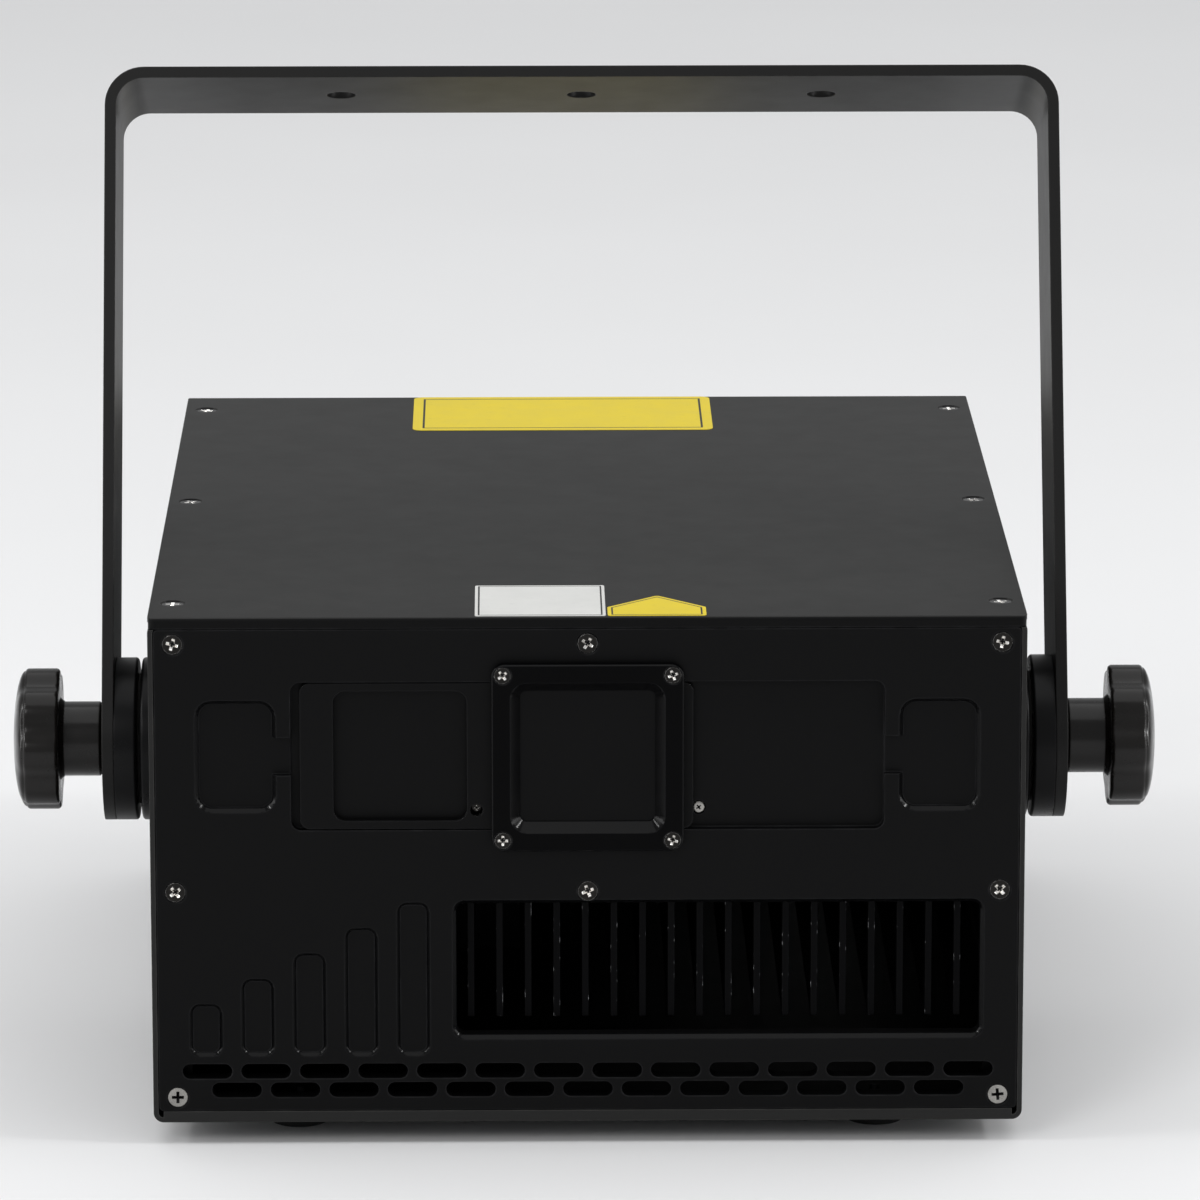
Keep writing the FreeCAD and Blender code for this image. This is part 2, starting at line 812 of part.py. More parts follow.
def pan_screw(name, radius, length, head_radius, head_height):
    body = new_body(name)
    half = new_sketch(body, "XZ_Plane", name + "_half")
    crown = head_height / 2
    face = head_radius - crown
    points = [(0, -length), (radius, -length), (radius, 0), (head_radius, 0)]
    points += [(head_radius, crown), (face, head_height), (0, head_height)]
    add_profile(half, points)
    revolve(body, half, "V_Axis")
    return body


def flat_screw(name, radius, length, head_radius):
    body = new_body(name)
    half = new_sketch(body, "XZ_Plane", name + "_half")
    face = -S.flat_head_sink
    neck = face - (head_radius - radius)
    add_profile(half, [(0, -length), (radius, -length), (radius, neck), (head_radius, face), (0, face)])
    revolve(body, half, "V_Axis")
    return body


def lid_screw_places():
    places = []
    for side in (-1, 1):
        for step in (-1, 0, 1):
            places.append((LID_SCREW_X * side, (FRONT - S.lid_screw_setback) * step))
    return places


def panel_screw_places():
    """Places of the screws along both sides of the front and rear panels."""
    places = []
    for side in (-1, 1):
        for height in (S.panel_screw_low, PANEL_SCREW_MIDDLE, PANEL_SCREW_HIGH):
            places.append((PANEL_SCREW_X * side, height))
    return places


def middle_screw_places():
    return [(lift(0), PANEL_SCREW_MIDDLE), (lift(0), PANEL_SCREW_HIGH)]


def foot_places():
    reach = FRONT - S.foot_setback
    return [((HALF_WIDTH - S.foot_inset) * side, reach * end) for side in (-1, 1) for end in (-1, 1)]


def bezel_screw_places():
    reach = S.bezel_screw_spacing / 2
    return [(reach * side, APERTURE_Z + reach * end) for side in (-1, 1) for end in (-1, 1)]


def fan_screw_places():
    reach = S.fan_hole_spacing / 2
    return [(FAN_X + reach * side, FAN_Z + reach * end) for side in (-1, 1) for end in (-1, 1)]


def screws():
    lid_screw = flat_screw("lid_screw", S.lid_screw_radius, S.lid_screw_length, S.lid_head_radius)
    panel_screw = flat_screw("panel_screw", S.panel_screw_radius, S.panel_screw_length, S.panel_head_radius)
    bezel_screw = flat_screw("bezel_screw", S.bezel_screw_radius, S.bezel_screw_length, S.bezel_head_radius)
    sizes = (S.screw_head_radius, S.screw_head_height)
    case_screw = pan_screw("case_screw", S.screw_radius, S.screw_length, *sizes)
    sizes = (S.small_head_radius, S.small_head_height)
    small_screw = pan_screw("small_screw", S.small_screw_radius, S.small_screw_length, *sizes)
    sizes = (S.window_head_radius, S.window_head_height)
    window_screw = pan_screw("window_screw", S.window_screw_radius, S.window_screw_length, *sizes)

    places = panel_screw_places() + middle_screw_places()
    group("front_panel_screws", panel_screw, [(x, -FRONT, z, FACING_FRONT) for x, z in places])
    places = panel_screw_places()
    group("rear_panel_screws", case_screw, [(x, FRONT, z, FACING_BACK) for x, z in places])
    places = lid_screw_places()
    group("lid_screws", lid_screw, [(x, y, S.housing_height, UPRIGHT) for x, y in places])
    floor_of_well = S.foot_well_depth - S.foot_height
    group("foot_screws", case_screw, [(x, y, floor_of_well, FACING_DOWN) for x, y in foot_places()])
    bezel_front = -FRONT - S.bezel_thickness
    places = bezel_screw_places()
    group("bezel_screws", bezel_screw, [(x, bezel_front, z, FACING_FRONT) for x, z in places])
    seat = -FRONT + S.track_depth + S.window_head_height + S.screw_clearance
    places = [(S.window_screw_x * side, WINDOW_SCREW_Z) for side in (-1, 1)]
    group("window_screws", window_screw, [(x, seat, z, FACING_FRONT) for x, z in places])
    places = fan_screw_places()
    group("fan_screws", small_screw, [(x, FRONT, z, FACING_BACK) for x, z in places])


# Housing

def chassis_tray():
    """Floor, side walls, top lips, panel flanges and floor lips, folded from one sheet."""
    body = new_body("chassis_tray")
    lip = HALF_WIDTH - S.lid_lip
    wall = HALF_WIDTH - S.sheet
    inner_bend = S.bend_radius - S.sheet
    section = new_sketch(body, "XZ_Plane", "tray_section")
    right = [
        (HALF_WIDTH, 0, S.bend_radius),
        (HALF_WIDTH, LID_UNDER, S.bend_radius),
        (lip, LID_UNDER),
        (lip, LID_UNDER - S.sheet),
        (wall, LID_UNDER - S.sheet, inner_bend),
        (wall, S.sheet, inner_bend),
    ]
    left = [(-lift(corner[0]),) + corner[1:] for corner in reversed(right)]
    add_outline(section, right + left)
    pad(body, section, S.housing_depth, both_ways=True)

    for name, face in (("front", PANEL_BACK - S.sheet), ("rear", S.sheet - FRONT)):
        flange = new_sketch(body, "XZ_Plane", name + "_flange", face)
        outside = HALF_WIDTH - S.sheet / 2
        inside = wall - S.panel_flange
        crest = LID_UNDER - S.sheet / 2
        rail = LID_UNDER - S.panel_flange
        seat = S.sheet / 2
        half = [(inside, seat), (outside, seat), (outside, crest)]
        other = [(-lift(x), z) for x, z in reversed(half)]
        add_outline(flange, half + other + [(-inside, rail), (inside, rail)])
        pad(body, flange, S.sheet)

    for name, face in (("front", FRONT - S.sheet), ("rear", -FRONT)):
        fold = new_sketch(body, "XZ_Plane", name + "_floor_lip", face)
        edge = HALF_WIDTH - S.bend_radius
        add_outline(fold, rectangle(-edge, 0, edge, S.floor_lip))
        pad(body, fold, S.sheet)

    notch = new_sketch(body, "YZ_Plane", "apron_notch")
    bottom = S.housing_height - S.lid_apron - S.seam
    inset = FRONT - S.sheet - S.seam
    add_outline(notch, rectangle(inset, bottom, FRONT + S.cut_overrun, S.housing_height))
    add_outline(notch, rectangle(-FRONT - S.cut_overrun, bottom, -inset, S.housing_height))
    pocket(body, notch, S.housing_width + S.cut_overrun, both_ways=True)

    pivots = new_sketch(body, "YZ_Plane", "pivot_holes")
    add_circle(pivots, PIVOT_Y, PIVOT_Z, S.spigot_radius + S.screw_clearance)
    pocket(body, pivots, S.housing_width + S.cut_overrun, both_ways=True)

    holes = new_sketch(body, "XY_Plane", "lid_holes", S.housing_height)
    for x, y in lid_screw_places():
        add_circle(holes, x, y, LID_HOLE)
    countersink(body, holes, LID_HOLE, S.lid_head_radius, S.sheet * 2 + S.cut_overrun)

    holes = new_sketch(body, "XY_Plane", "foot_holes", S.sheet)
    for x, y in foot_places():
        add_circle(holes, x, y, SCREW_HOLE)
    pocket(body, holes, S.sheet + S.cut_overrun)

    holes = new_sketch(body, "XZ_Plane", "front_holes", PANEL_BACK)
    for x, z in panel_screw_places() + middle_screw_places()[1:]:
        add_circle(holes, x, z, PANEL_HOLE)
    pocket(body, holes, S.sheet + S.cut_overrun)

    holes = new_sketch(body, "XZ_Plane", "rear_holes", S.sheet * 2 - FRONT)
    for x, z in panel_screw_places():
        add_circle(holes, x, z, SCREW_HOLE)
    pocket(body, holes, S.sheet + S.cut_overrun)
    finish(body, "chassis_tray")


def top_lid():
    """Flat lid with a short apron at each end."""
    body = new_body("top_lid")
    side = new_sketch(body, "YZ_Plane", "lid_section")
    hem = S.housing_height - S.lid_apron
    inner = FRONT - S.sheet
    corners = [
        (-FRONT, hem),
        (-inner, hem),
        (-inner, LID_UNDER),
        (inner, LID_UNDER),
        (inner, hem),
        (FRONT, hem),
        (FRONT, S.housing_height, S.lid_bend),
        (-FRONT, S.housing_height, S.lid_bend),
    ]
    add_outline(side, corners)
    pad(body, side, S.housing_width, both_ways=True)
    trim = new_sketch(body, "XY_Plane", "lid_corners", S.housing_height)
    add_outline(trim, centred(lift(0), lift(0), S.housing_width, S.housing_depth, S.lid_corner))
    margin = S.cut_overrun * 2
    add_outline(trim, centred(lift(0), lift(0), S.housing_width + margin, S.housing_depth + margin))
    pocket(body, trim, S.lid_apron + S.cut_overrun)
    holes = new_sketch(body, "XY_Plane", "lid_screw_holes", S.housing_height)
    for x, y in lid_screw_places():
        add_circle(holes, x, y, LID_HOLE)
    countersink(body, holes, LID_HOLE, S.lid_head_radius, S.sheet + S.cut_overrun)
    finish(body, "top_lid")


def panel_edges():
    """Left, low, right and high edge of the front and rear panels."""
    side = HALF_WIDTH - S.sheet - S.seam
    return -side, S.floor_lip + S.seam, side, S.housing_height - S.lid_apron - S.seam


def track_corners():
    return centred(lift(0), APERTURE_Z, TRACK_LENGTH, S.track_width, S.track_corner)


def front_panel():
    """Thick plate with the shutter track, finger dishes, level bars, heatsink window and vents."""
    body = new_body("front_panel")
    plate = new_sketch(body, "XZ_Plane", "panel_plate", PANEL_BACK)
    add_outline(plate, rectangle(*panel_edges(), S.panel_corner))
    pad(body, plate, S.panel_thickness)

    track = new_sketch(body, "XZ_Plane", "shutter_track", FRONT)
    add_outline(track, track_corners())
    pocket(body, track, S.track_depth)

    aperture = new_sketch(body, "XZ_Plane", "aperture", FRONT)
    size = S.aperture_size
    add_outline(aperture, centred(lift(0), APERTURE_Z, size, size, S.aperture_corner))
    pocket(body, aperture, S.panel_thickness + S.cut_overrun)

    for side in (-1, 1):
        dish = new_sketch(body, "XZ_Plane", "finger_dish", FRONT)
        middle = DISH_X * side
        corners = centred(middle, APERTURE_Z, S.dish_width, S.dish_height, S.dish_corner)
        add_outline(dish, corners)
        dish_cut = pocket(body, dish, S.dish_depth)
        bevel_window(body, dish_cut, S.dish_bevel, corners)
        channel = new_sketch(body, "XZ_Plane", "finger_channel", FRONT)
        near = TRACK_LENGTH / 2 - S.track_corner
        far = DISH_X - S.dish_width / 2 + S.dish_corner
        left, right = (near, far) if side > 0 else (-far, -near)
        low = APERTURE_Z - S.channel_height / 2
        add_outline(channel, rectangle(left, low, right, low + S.channel_height))
        pocket(body, channel, S.dish_depth)

    for step in range(int(S.bar_count.value)):
        bar = new_sketch(body, "XZ_Plane", "level_bar", FRONT)
        left = BAR_FIRST_X + S.bar_pitch * step - S.bar_width / 2
        top = S.bar_bottom + S.bar_first_height + S.bar_step * step
        corners = rectangle(left, S.bar_bottom, left + S.bar_width, top, S.bar_corner)
        add_outline(bar, corners)
        bar_cut = pocket(body, bar, S.bar_depth)
        bevel_window(body, bar_cut, S.bar_bevel, corners)

    window = new_sketch(body, "XZ_Plane", "heatsink_window", FRONT)
    corners = rectangle(WINDOW_LEFT, S.window_bottom, WINDOW_RIGHT, BENCH_Z - S.window_lip, S.window_corner)
    add_outline(window, corners)
    window_cut = pocket(body, window, S.panel_thickness + S.cut_overrun)
    bevel_window(body, window_cut, S.window_bevel, corners)

    rows = ((S.slot_upper_count, S.slot_upper_height), (S.slot_lower_count, S.slot_lower_height))
    for count, height in rows:
        vent = new_sketch(body, "XZ_Plane", "vent_slot", FRONT)
        add_slot(vent, SLOT_PITCH * (1 - count) / 2, height, SLOT_PITCH - S.slot_bridge, S.slot_width)
        first = pocket(body, vent, S.panel_thickness + S.cut_overrun)
        repeat_along(body, first, "X_Axis", SLOT_PITCH, count)

    holes = new_sketch(body, "XZ_Plane", "panel_screw_holes", FRONT)
    for x, z in panel_screw_places() + middle_screw_places():
        add_circle(holes, x, z, PANEL_HOLE)
    countersink(body, holes, PANEL_HOLE, S.panel_head_radius, S.panel_thickness + S.cut_overrun)
    holes = new_sketch(body, "XZ_Plane", "bezel_screw_holes", FRONT)
    for x, z in bezel_screw_places():
        add_circle(holes, x, z, BEZEL_HOLE)
    pocket(body, holes, S.panel_thickness + S.cut_overrun)

    seats = new_sketch(body, "XZ_Plane", "window_screw_seats", FRONT)
    shanks = new_sketch(body, "XZ_Plane", "window_screw_holes", FRONT)
    for side in (-1, 1):
        x = S.window_screw_x * side
        add_circle(seats, x, WINDOW_SCREW_Z, S.window_head_radius + S.screw_clearance)
        add_circle(shanks, x, WINDOW_SCREW_Z, S.window_screw_radius + S.screw_clearance)
    pocket(body, seats, S.track_depth + S.window_head_height + S.screw_clearance)
    pocket(body, shanks, S.panel_thickness + S.cut_overrun)
    finish(body, "front_panel")


def rubber_feet():
    """Tapered feet, each with a well for its screw."""
    cone = doc.addObject("Part::Cone", "foot_cone")
    bind(cone, Radius1=S.foot_tip_radius, Radius2=S.foot_radius, Height=S.foot_height)
    move(cone, 0, 0, -S.foot_height)
    well_start = (0, 0, -S.foot_height - S.cut_overrun)
    well = cylinder("foot_well", "Z", S.foot_well_radius, well_start, S.foot_well_depth + S.cut_overrun)
    hole = cylinder("foot_hole", "Z", SCREW_HOLE, (0, 0, -S.foot_height), S.foot_height + S.cut_overrun)
    foot = cut("foot", cone, [well, hole])
    group("rubber_feet", foot, [(x, y, 0, UPRIGHT) for x, y in foot_places()])


# Shutter and aperture

def aperture_bezel():
    """Square frame over the track, with a bevelled opening."""
    body = new_body("aperture_bezel")
    frame = new_sketch(body, "XZ_Plane", "bezel_frame", FRONT)
    add_outline(frame, centred(lift(0), APERTURE_Z, S.bezel_size, S.bezel_size, S.bezel_corner))
    block = pad(body, frame, S.bezel_thickness)
    level = -(FRONT + S.bezel_thickness).value
    wide = S.housing_width.value
    everywhere = edge_in_window("y", level, (-wide, -wide), (wide, wide))
    bevel(body, block, S.bezel_edge, everywhere)
    opening = new_sketch(body, "XZ_Plane", "bezel_opening", FRONT + S.bezel_thickness)
    size = S.bezel_opening
    corners = centred(lift(0), APERTURE_Z, size, size, S.bezel_opening_corner)
    add_outline(opening, corners)
    opening_cut = pocket(body, opening, S.bezel_thickness + S.cut_overrun)
    low = [lift(corners[0][axis]).value - TOUCH for axis in range(2)]
    high = [lift(corners[2][axis]).value + TOUCH for axis in range(2)]
    bevel(body, opening_cut, S.bezel_bevel, edge_in_window("y", level, low, high))
    holes = new_sketch(body, "XZ_Plane", "bezel_holes", FRONT + S.bezel_thickness)
    for x, z in bezel_screw_places():
        add_circle(holes, x, z, BEZEL_HOLE)
    countersink(body, holes, BEZEL_HOLE, S.bezel_head_radius, S.bezel_thickness + S.cut_overrun)
    finish(body, "aperture_bezel")


def shutter_slide():
    """Plate with a window, drawn closed; it runs in the track behind the bezel."""
    body = new_body("shutter_slide")
    face = FRONT - S.slide_gap
    thickness = S.track_depth - S.slide_gap * 2
    low = APERTURE_Z - S.track_width / 2 + S.slide_gap
    high = APERTURE_Z + S.track_width / 2 - S.slide_gap
    plate = new_sketch(body, "XZ_Plane", "slide_plate", face - thickness)
    add_outline(plate, rectangle(SLIDE_LEFT, low, S.slide_cover, high, S.slide_corner))
    pad(body, plate, thickness)
    window = new_sketch(body, "XZ_Plane", "slide_window", face)
    size = S.slide_window
    middle = SLIDE_LEFT + S.slide_window_inset
    add_outline(window, centred(middle, APERTURE_Z, size, size, S.slide_window_corner))
    pocket(body, window, thickness + S.cut_overrun)
    access = new_sketch(body, "XZ_Plane", "access_hole", face)
    add_circle(access, -S.window_screw_x, WINDOW_SCREW_Z, S.access_hole_radius)
    pocket(body, access, thickness + S.cut_overrun)
    finish(body, "shutter_slide")


def window_parts():
    """Clear pane and the holder that clamps it to the back of the front panel."""
    half = S.pane_size / 2
    middle = APERTURE_Z
    pane_low = (-half, -PANEL_BACK + S.pane_gap, middle - half)
    pane_high = (half, -PANEL_BACK + S.pane_gap + S.pane_thickness, middle + half)
    finish(box("window_glass", pane_low, pane_high), "window_glass", *pane_low)

    body = new_body("window_holder")
    plate = new_sketch(body, "XZ_Plane", "holder_plate", PANEL_BACK - S.holder_thickness)
    add_outline(plate, centred(lift(0), middle, S.holder_length, S.holder_width, S.holder_corner))
    pad(body, plate, S.holder_thickness)
    rebate = new_sketch(body, "XZ_Plane", "pane_rebate", PANEL_BACK)
    size = S.pane_size + S.pane_gap * 2
    add_outline(rebate, centred(lift(0), middle, size, size))
    pocket(body, rebate, S.pane_thickness + S.pane_gap * 2)
    opening = new_sketch(body, "XZ_Plane", "holder_opening", PANEL_BACK)
    size = S.aperture_size
    add_outline(opening, centred(lift(0), middle, size, size, S.aperture_corner))
    pocket(body, opening, S.holder_thickness + S.cut_overrun)
    holes = new_sketch(body, "XZ_Plane", "holder_holes", PANEL_BACK)
    for side in (-1, 1):
        radius = S.window_screw_radius + S.screw_clearance
        add_circle(holes, S.window_screw_x * side, WINDOW_SCREW_Z, radius)
    pocket(body, holes, S.holder_thickness + S.cut_overrun)
    finish(body, "window_holder")


# Heatsink and optical bench

def heatsink():
    """Thick base from wall to wall with a row of hanging fins."""
    body = new_body("heatsink")
    side = HALF_WIDTH - S.sheet - S.seam
    base = new_sketch(body, "XY_Plane", "bench_base", BENCH_Z)
    add_outline(base, rectangle(-side, -BENCH_FRONT, side, S.bench_back))
    pad(body, base, S.bench_thickness)
    fin = new_sketch(body, "XY_Plane", "first_fin", S.fin_bottom)
    left = FIN_FIRST_X - S.fin_thickness / 2
    front = S.fin_setback - BENCH_FRONT
    add_outline(fin, rectangle(left, front, left + S.fin_thickness, S.bench_back))
    first = pad(body, fin, BENCH_Z - S.fin_bottom + S.bench_thickness / 2)
    repeat_along(body, first, "X_Axis", FIN_PITCH, S.fin_count)
    holes = new_sketch(body, "XZ_Plane", "bench_front_holes", BENCH_FRONT)
    for x in (-PANEL_SCREW_X, lift(0), PANEL_SCREW_X):
        add_circle(holes, x, PANEL_SCREW_MIDDLE, PANEL_HOLE)
    pocket(body, holes, S.panel_screw_length)
    finish(body, "heatsink")


def bench_rails():
    """Angle rails on the side walls that carry the bench."""
    body = new_body("rail")
    front = S.rail_setback - BENCH_FRONT
    back = S.bench_back - S.rail_setback
    section = new_sketch(body, "XZ_Plane", "rail_section", -back)
    wall = HALF_WIDTH - S.sheet
    corners = [
        (wall, BENCH_Z),
        (wall - S.rail_leg, BENCH_Z),
        (wall - S.rail_leg, BENCH_Z - S.rail_thickness),
        (wall - S.rail_thickness, BENCH_Z - S.rail_thickness),
        (wall - S.rail_thickness, BENCH_Z - S.rail_leg),
        (wall, BENCH_Z - S.rail_leg),
    ]
    add_outline(section, corners)
    pad(body, section, back - front)
    turned = FreeCAD.Rotation(AXES["Z"], 180)
    group("bench_rails", body, [(0, 0, 0, UPRIGHT), (0, back + front, 0, turned)])


def laser(label, x, y, rotation):
    """A laser module, drawn with its lens towards +X and its beam on the X axis."""
    side = S.laser_width / 2
    low = (-S.laser_length, -side, -S.beam_height)
    high = (lift(0), side, S.laser_height - S.beam_height)
    block = box(label + "_block", low, high)
    lens = cylinder(label + "_lens", "X", S.lens_radius, (-S.laser_fin_depth, 0, 0),
                    S.lens_length + S.laser_fin_depth)
    solid = fuse(label + "_solid", [block, lens])
    grooves = []
    groove_count = 3
    for step in range(groove_count):
        start = S.laser_length * (step + 1) / (groove_count + 1) + S.laser_fin_depth / 2
        top = S.laser_height - S.beam_height
        corner = (-start, -side - S.cut_overrun, top - S.laser_fin_depth)
        end = (-start + S.laser_fin_depth / 2, side + S.cut_overrun, top + S.cut_overrun)
        grooves.append(box(label + "_groove", corner, end))
    finish(cut(label, solid, grooves), label, x, y, BEAM_Z, rotation)


def lasers():
    back_to_front = FreeCAD.Rotation(AXES["Z"], -90)
    laser("red_laser", S.red_laser_inset - HALF_WIDTH + S.laser_length, SCAN_Y, UPRIGHT)
    laser("green_laser", S.green_beam_x, SIDE_LASER_Y, back_to_front)
    laser("blue_laser", S.blue_beam_x, SIDE_LASER_Y, back_to_front)


def combining_mirrors():
    """Coated plates that stand at 45 degrees in slotted posts."""
    post = cylinder("mirror_post", "Z", S.mirror_post_radius, (0, 0, 0), S.mirror_post_height)
    seat = S.mirror_post_height - S.mirror_slot_depth
    half = S.mirror_thickness / 2 + S.mirror_gap
    reach = S.mirror_post_radius + S.cut_overrun
    slot = box("mirror_slot", (-reach, -half, seat), (reach, half, S.mirror_post_height + S.cut_overrun))
    mount = cut("mirror_mount", post, [slot])
    body = new_body("mirror_plate")
    plate = new_sketch(body, "XY_Plane", "mirror_outline", seat)
    add_outline(plate, centred(lift(0), lift(0), S.mirror_width, S.mirror_thickness))
    pad(body, plate, S.mirror_height)
    diagonal = FreeCAD.Rotation(AXES["Z"], 45)
    places = [(x, SCAN_Y, BENCH_TOP, diagonal) for x in (S.green_beam_x, S.blue_beam_x)]
    group("mirror_mounts", mount, places)
    group("combining_mirrors", body, places)


# Scanner

def scan_mirror(label, length, width):
    """A small mirror with its shaft along +X, drawn lying flat about the shaft's axis."""
    half = S.scan_plate_thickness / 2
    low = (-length / 2, -width / 2, -half)
    plate = box(label + "_plate", low, (length / 2, width / 2, half))
    start = length / 2 - S.scan_plate_thickness
    reach = S.scan_motor_gap + S.scan_shaft_seat - start
    shaft = cylinder(label + "_shaft", "X", S.scan_shaft_radius, (start, 0, 0), reach)
    return fuse(label, [plate, shaft])


def scan_motor(label):
    """A small round motor with its shaft hole at the origin's end, along +X."""
    can = cylinder(label + "_can", "X", S.scan_motor_radius, (S.scan_motor_gap, 0, 0), S.scan_motor_length)
    radius = S.scan_shaft_radius + S.bearing_clearance
    depth = S.scan_shaft_seat + S.bearing_clearance
    start = (S.scan_motor_gap - S.cut_overrun, 0, 0)
    hole = cylinder(label + "_hole", "X", radius, start, depth + S.cut_overrun)
    return cut(label, can, [hole])


def scanner():
    """Two motors on crossed axes in one block: the first mirror sends the beam up to the second."""
    upper_z = BEAM_Z + S.scan_rise
    leaning = FreeCAD.Rotation(AXES["X"], 45)
    sideways = FreeCAD.Rotation(AXES["Z"], 90)
    mirror = scan_mirror("scan_mirror_y", S.scan_plate_length, S.scan_plate_large)
    finish(mirror, "scan_mirror_y", 0, SCAN_Y, upper_z, leaning)
    mirror = scan_mirror("scan_mirror_x", S.scan_plate_length, S.scan_plate_width)
    finish(mirror, "scan_mirror_x", 0, SCAN_Y, BEAM_Z, sideways.multiply(leaning))
    finish(scan_motor("scan_motor_y"), "scan_motor_y", 0, SCAN_Y, upper_z)
    finish(scan_motor("scan_motor_x"), "scan_motor_x", 0, SCAN_Y, BEAM_Z, sideways)

    bore = S.scan_motor_radius + S.bearing_clearance
    wall = S.scan_motor_radius + S.scan_wall
    start = S.scan_motor_gap + S.scan_block_inset
    stop = start + S.scan_block_width
    low = (start, SCAN_Y - wall, BENCH_TOP)
    tall = box("scan_block_tall", low, (stop, SCAN_Y + stop, upper_z + wall))
    low = (-wall, SCAN_Y + start, BENCH_TOP)
    short = box("scan_block_short", low, (stop, SCAN_Y + stop, BEAM_Z + wall))
    block = fuse("scan_block", [tall, short])
    length = stop + S.cut_overrun
    hole_y = cylinder("scan_bore_y", "X", bore, (0, SCAN_Y, upper_z), length)
    hole_x = cylinder("scan_bore_x", "Y", bore, (0, SCAN_Y, BEAM_Z), length)
    finish(cut("galvo_block", block, [hole_y, hole_x]), "galvo_block")


# Boards and power supply

def flat_board(label, left, front, right, back, tall_parts):
    """A board on standoffs above the bench, with blocks for its tall components."""
    level = BENCH_TOP + S.standoff_height
    pieces = [box(label + "_sheet", (left, front, level), (right, back, level + S.board_thickness))]
    for step in range(tall_parts):
        x = left + (right - left) * (step + 1) / (tall_parts + 1) - S.component_width / 2
        y = front + (back - front) / 2 - S.component_width / 2
        low = (x, y, level)
        high = (x + S.component_width, y + S.component_width, level + S.component_height)
        pieces.append(box(label + "_component", low, high))
    finish(fuse(label, pieces), label)


def board_corners(left, low, right, high):
    inset = S.board_margin
    return [(x, y) for x in (left + inset, right - inset) for y in (low + inset, high - inset)]


def control_board_edges():
    half = S.control_board_length / 2
    high = S.housing_height - S.control_board_drop
    return DISPLAY_X - half, high - S.control_board_height, DISPLAY_X + half, high


def button_places():
    middle = (S.button_count - 1) / 2
    return [DISPLAY_X + S.button_pitch * (step - middle) for step in range(int(S.button_count.value))]


def boards():
    left = S.driver_inset - HALF_WIDTH
    driver = (left, BOARD_BACK - S.driver_depth, left + S.driver_length, BOARD_BACK)
    right = HALF_WIDTH - S.scan_board_inset
    scan = (right - S.scan_board_length, BOARD_BACK - S.scan_board_depth, right, BOARD_BACK)
    flat_board("laser_driver_board", *driver, 3)
    flat_board("scan_driver_board", *scan, 2)
    left, low, right, high = control_board_edges()
    back = CONTROL_BOARD_BACK
    pieces = [box("control_sheet", (left, CONTROL_BOARD_Y, low), (right, back, high))]
    half = S.key_block_size / 2
    for x in button_places():
        corner = (x - half, back, BUTTON_Z - half)
        far = (x + half, back + S.key_block_height, BUTTON_Z + half)
        pieces.append(box("key_block", corner, far))
    finish(fuse("control_board", pieces), "control_board")

    short = cylinder("bench_standoff", "Z", S.standoff_radius, (0, 0, 0), S.standoff_height)
    places = board_corners(*driver) + board_corners(*scan)
    group("bench_standoffs", short, [(x, y, BENCH_TOP, UPRIGHT) for x, y in places])
    long = cylinder("panel_standoff", "Y", S.standoff_radius, (0, 0, 0), REAR_INSIDE - back)
    turned = FreeCAD.Rotation(AXES["Z"], AXES["Y"])
    places = board_corners(*control_board_edges())
    group("panel_standoffs", long, [(x, back, z, turned) for x, z in places])


def power_supply():
    """Closed metal case with a terminal strip along its front."""
    right = SUPPLY_LEFT + S.supply_length
    front = SUPPLY_BACK - S.supply_depth
    low = (SUPPLY_LEFT, front, S.sheet)
    high = (right, SUPPLY_BACK, S.sheet + S.supply_height)
    case = box("supply_case", low, high)
    low = (SUPPLY_LEFT, front - S.terminal_depth, S.sheet)
    high = (right, front, S.sheet + S.terminal_height)
    terminals = box("supply_terminals", low, high)
    finish(fuse("power_supply", [case, terminals]), "power_supply")


# Yoke and pivots, drawn about the pivot axis

def at_pivot(thing, label, rotation=UPRIGHT):
    finish(thing, label, 0, PIVOT_Y, PIVOT_Z, rotation)


def yoke():
    """Flat bar bent into a U, with round ends at the pivots and holes in the top bar."""
    body = new_body("yoke")
    inner_bend = S.yoke_bend - S.yoke_thickness
    under = S.yoke_reach - S.yoke_thickness
    bar = new_sketch(body, "XZ_Plane", "yoke_section")
    right = [(ARM_INSIDE, under, inner_bend), (ARM_INSIDE, 0), (ARM_OUTSIDE, 0)]
    right.append((ARM_OUTSIDE, S.yoke_reach, S.yoke_bend))
    left = [(-lift(corner[0]),) + corner[1:] for corner in reversed(right)]
    add_outline(bar, right + left)
    pad(body, bar, S.yoke_width, both_ways=True)

    for side in (-1, 1):
        end = new_sketch(body, "YZ_Plane", "round_end", ARM_INSIDE * side)
        add_circle(end, 0, 0, S.yoke_width / 2)
        pad(body, end, S.yoke_thickness, reverse=side < 0)

    pivots = new_sketch(body, "YZ_Plane", "arm_holes")
    add_circle(pivots, 0, 0, S.arm_hole_radius)
    pocket(body, pivots, S.housing_width * 2, both_ways=True)

    holes = new_sketch(body, "XY_Plane", "bar_holes", S.yoke_reach)
    for step in (-1, 0, 1):
        add_circle(holes, S.yoke_hole_spacing * step, 0, S.yoke_hole_radius)
    pocket(body, holes, S.yoke_thickness + S.cut_overrun)
    at_pivot(body, "yoke", FreeCAD.Rotation(-AXES["X"], S.yoke_tilt_degrees.value))
    body.setExpression("Placement.Rotation.Angle", S.yoke_tilt_degrees.text)


def turned(name, points):
    """A round piece about the X axis from its half outline of reach and radius."""
    body = new_body(name)
    half = new_sketch(body, "XY_Plane", name + "_half")
    add_profile(half, points)
    revolve(body, half)
    return body


